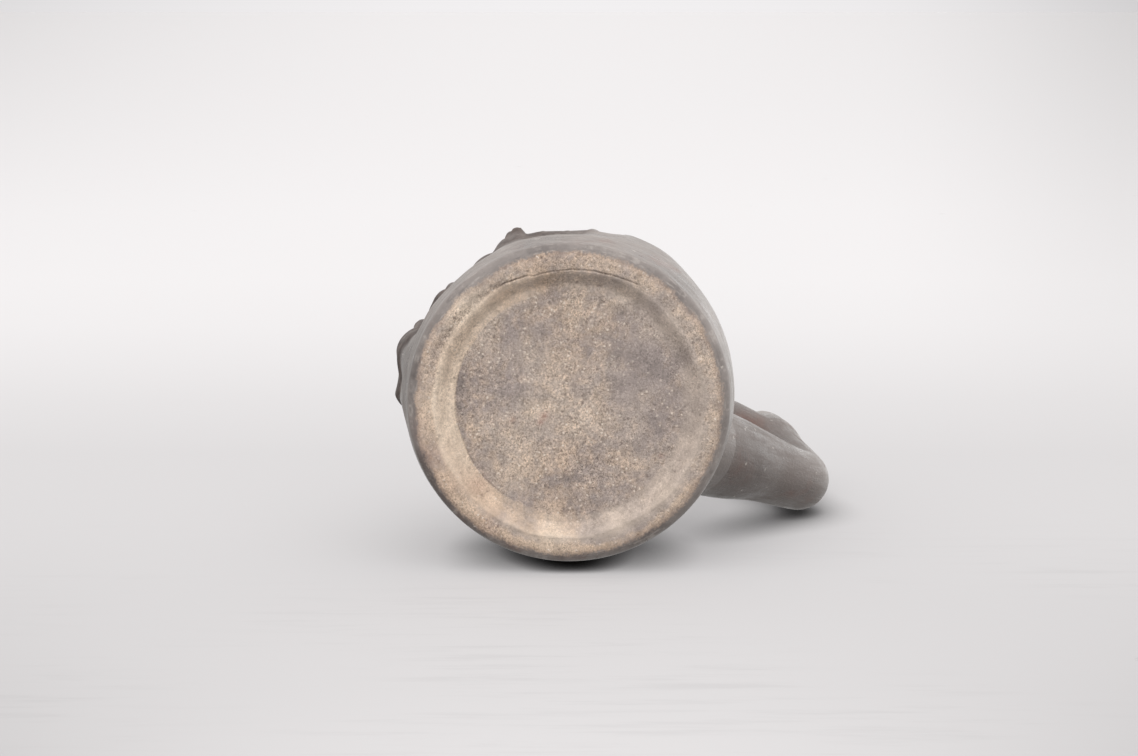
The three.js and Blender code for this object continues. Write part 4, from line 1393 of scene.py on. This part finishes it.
def backdrop_group():
    """The backdrop's tone in each direction from the camera, as the photograph shows it."""
    n, given, out = group("backdrop", {"Direction": "Vector"}, {"Tone": "Color"})
    axes = (CAMERA_RIGHT, CAMERA_UP, CAMERA_FORWARD)
    right, above, depth = [n.vector("DOT_PRODUCT", given["Direction"], axis) for axis in axes]
    across = n.math("DIVIDE", n.times(right, FOCAL_PIXELS / (PHOTO_WIDTH / 2)), depth)
    up = n.math("DIVIDE", n.times(above, FOCAL_PIXELS / (PHOTO_HEIGHT / 2)), depth)
    tone = tone_ramp(n, n.math("MULTIPLY_ADD", up, -0.5, 0.5), TABLE_TONES)
    squares = [n.math("MINIMUM", n.times(each, each), 1.2) for each in (across, up)]
    edge = n.times(n.span(across, 0.5, 1.1, 0.0, RIGHT_EDGE_DARKENS), n.span(up, -0.4, 0.5))
    n.feed(out["Tone"], n.mix(n.plus(n.times(*squares, CORNER_DARKENS), edge), tone, BLACK))
    return n.tree


BACKDROP = backdrop_group()
print("group:", BACKDROP.name)

# %% [markdown]
# Since the bottle stands upright here, that table is a large upright plane at its side. It takes
# the bottle's shadow but throws none, and it is clear from behind, so that it never hides the
# bottle. Rubbed marks run across it. Where the bottle touches it, two ambient occlusion terms
# darken it: a narrow one for the line of contact and a wider one around that.

# %% Table and shelf
TABLE_REST = -64.55  # just past the belly, from the chamber's axis
TABLE_SHARE = 0.73  # of the light that falls on the table, what a tone of white gives back
TABLE_GLOW = 0.4  # light that the studio's front wall adds everywhere, shadows or not
CONTACTS = [(0.006, 1.5, 0.7), (0.02, 0.4, 1.1)]  # reach, and strength near the viewer and farther off
ACROSS_TURN = math.atan2(TABLE_UP.y, TABLE_UP.x)
STAGE_HALF = 60.0
SHELF_DROP = 0.0004  # just under the foot
STAGE_ROUGHNESS = 0.9
UPRIGHT = Vector((0.0, 0.0, 1.0))


def clear_from_behind(n, made, shader):
    n.fill(shader, Roughness=STAGE_ROUGHNESS)
    clear = n.add("ShaderNodeBsdfTransparent").outputs[0]
    behind = n.add("ShaderNodeNewGeometry").outputs["Backfacing"]
    either = n.row("ShaderNodeMixShader", {}, behind, shader.outputs[0], clear).outputs[0]
    n.fill(made.node_tree.nodes["Material Output"], Surface=either)
    return made


def table_clay():
    made, n, shader, place = material("pale_table", specular=0.1)
    tone = n.used(BACKDROP, Direction=n.vector("SUBTRACT", place, CAMERA_AT * MM))["Tone"]
    flat = n.moved(place, {"vector_type": "TEXTURE"}, Rotation=(0.0, 0.0, ACROSS_TURN))
    rubbed = n.cloud(n.moved(flat, Scale=(14.0, 14.0, 150.0)), 1.0, 5.0, 0.65)
    depth = n.add("ShaderNodeSeparateXYZ", Vector=place).outputs["Z"]
    wear_and_highlight = n.span(n.cloud(place, 7.0, 3.0), 0.42, 0.62)
    dust = n.used(SPECKS, Place=place, Size=34.0, Kept=0.02, Reach=0.06)["Mask"]
    tone = n.layers(
        tone,
        (n.times(n.span(depth, 0.12, -0.05), wear_and_highlight, n.span(rubbed, 0.48, 0.72, 0.0, 0.1)), grey(140)),
        (n.times(dust, 0.35), grey(120)),
    )
    for reach, first, last in CONTACTS:
        touch = n.add("ShaderNodeAmbientOcclusion", {"samples": 16}, Distance=reach).outputs["AO"]
        hidden = n.math("POWER", n.math("SUBTRACT", 1.0, touch), 1.5)
        contact = n.times(hidden, n.span(depth, 0.0, 0.05, first, last))
        tone = n.mix(n.math("MINIMUM", contact, 1.0), tone, BLACK)
    lit = n.mix((1.0 - TABLE_GLOW) * TABLE_SHARE, BLACK, tone)
    n.fill(shader, Base_Color=lit, Emission_Color=tone, Emission_Strength=TABLE_GLOW)
    return clear_from_behind(n, made, shader)


def shelf_clay():
    made, n, shader, place = material("pale_shelf", specular=0.1)
    n.fill(shader, Base_Color=n.mix(n.span(n.vector("LENGTH", place), 0.1, 2.5), grey(206), grey(232)))
    return clear_from_behind(n, made, shader)


def stage_plane(name, centre, up, clay):
    side = up.cross(UPRIGHT)
    side = side.normalized() if side.length > 0.1 else Vector((1.0, 0.0, 0.0))
    other = up.cross(side).normalized()
    mesh = bpy.data.meshes.new(name)
    corners = [centre + (side * a + other * b) * STAGE_HALF for a, b in ((-1, -1), (1, -1), (1, 1), (-1, 1))]
    mesh.from_pydata([tuple(c) for c in corners], [], [(0, 1, 2, 3)])
    if mesh.polygons[0].normal.dot(up) < 0:
        mesh.flip_normals()
    mesh.materials.append(clay)
    made = placed(name, mesh)
    for ray in ("shadow", "diffuse", "glossy", "transmission"):
        setattr(made, "visible_" + ray, False)


stage_plane("table", (TABLE_UP * TABLE_REST + Vector(AXIS)) * MM, TABLE_UP, table_clay())
stage_plane("shelf", UPRIGHT * -SHELF_DROP, UPRIGHT, shelf_clay())
print("stage: table and shelf")


# %% [markdown]
# The light is a studio's: a wide soft lamp over the table, and pale walls all round. The walls
# that the burnished clay mirrors are brighter beside and behind the bottle than on the camera's
# side, which is what draws the pale rims. The camera itself sees the backdrop's tone.

# %% Lights and surroundings
KEY_STRENGTH = 1.8
FILL_STRENGTH = 0.5
LAMP_SPREAD = 90.0
BACKDROP_STRENGTH = 1.035  # as bright as the lit table beside it


def sun(name, towards, strength):
    data = bpy.data.lights.new(name, "SUN")
    data.energy = strength
    data.angle = math.radians(LAMP_SPREAD)
    placed(name, data).rotation_euler = towards.normalized().to_track_quat("Z", "Y").to_euler()


def surroundings():
    world = bpy.data.worlds.new("studio")
    world.use_nodes = True
    n = Nodes(world.node_tree)
    towards = n.add("ShaderNodeTexCoord").outputs["Generated"]
    axes = (TABLE_UP, CAMERA_FORWARD, CAMERA_RIGHT)
    over, ahead, right = [n.vector("DOT_PRODUCT", towards, axis) for axis in axes]
    ambient = n.span(over, -0.7, 0.9, 0.3, 1.0)
    mirrored = n.plus(n.span(ahead, -0.5, 0.5, 0.06, 1.0), n.span(over, 0.3, 1.0, 0.0, 0.8),
                      n.span(right, 0.1, 1.0, 0.0, 1.7))
    mirrored = n.times(mirrored, n.span(over, -0.55, 0.1, 0.2, 1.0))
    rays = n.add("ShaderNodeLightPath").outputs
    strength = n.mix(rays["Is Glossy Ray"], ambient, mirrored, kind="FLOAT")
    walls = n.fill(world.node_tree.nodes["Background"], Color=srgb(255, 253, 251), Strength=strength)
    tone = n.used(BACKDROP, Direction=towards)["Tone"]
    backdrop = n.add("ShaderNodeBackground", Color=tone, Strength=BACKDROP_STRENGTH)
    direct = n.math("MAXIMUM", rays["Is Camera Ray"], rays["Is Transmission Ray"])
    choice = n.row("ShaderNodeMixShader", {}, direct, walls.outputs[0], backdrop.outputs[0])
    n.fill(world.node_tree.nodes["World Output"], Surface=choice.outputs[0])
    return world


sun("key", TABLE_UP * 0.72 - UPRIGHT * 0.66 - CAMERA_RIGHT * 0.14, KEY_STRENGTH)
sun("fill", Vector((-0.5, 0.6, 0.9)), FILL_STRENGTH)
bpy.context.scene.world = surroundings()
bpy.context.scene.view_settings.view_transform = "Standard"
print("lights:", KEY_STRENGTH, FILL_STRENGTH)
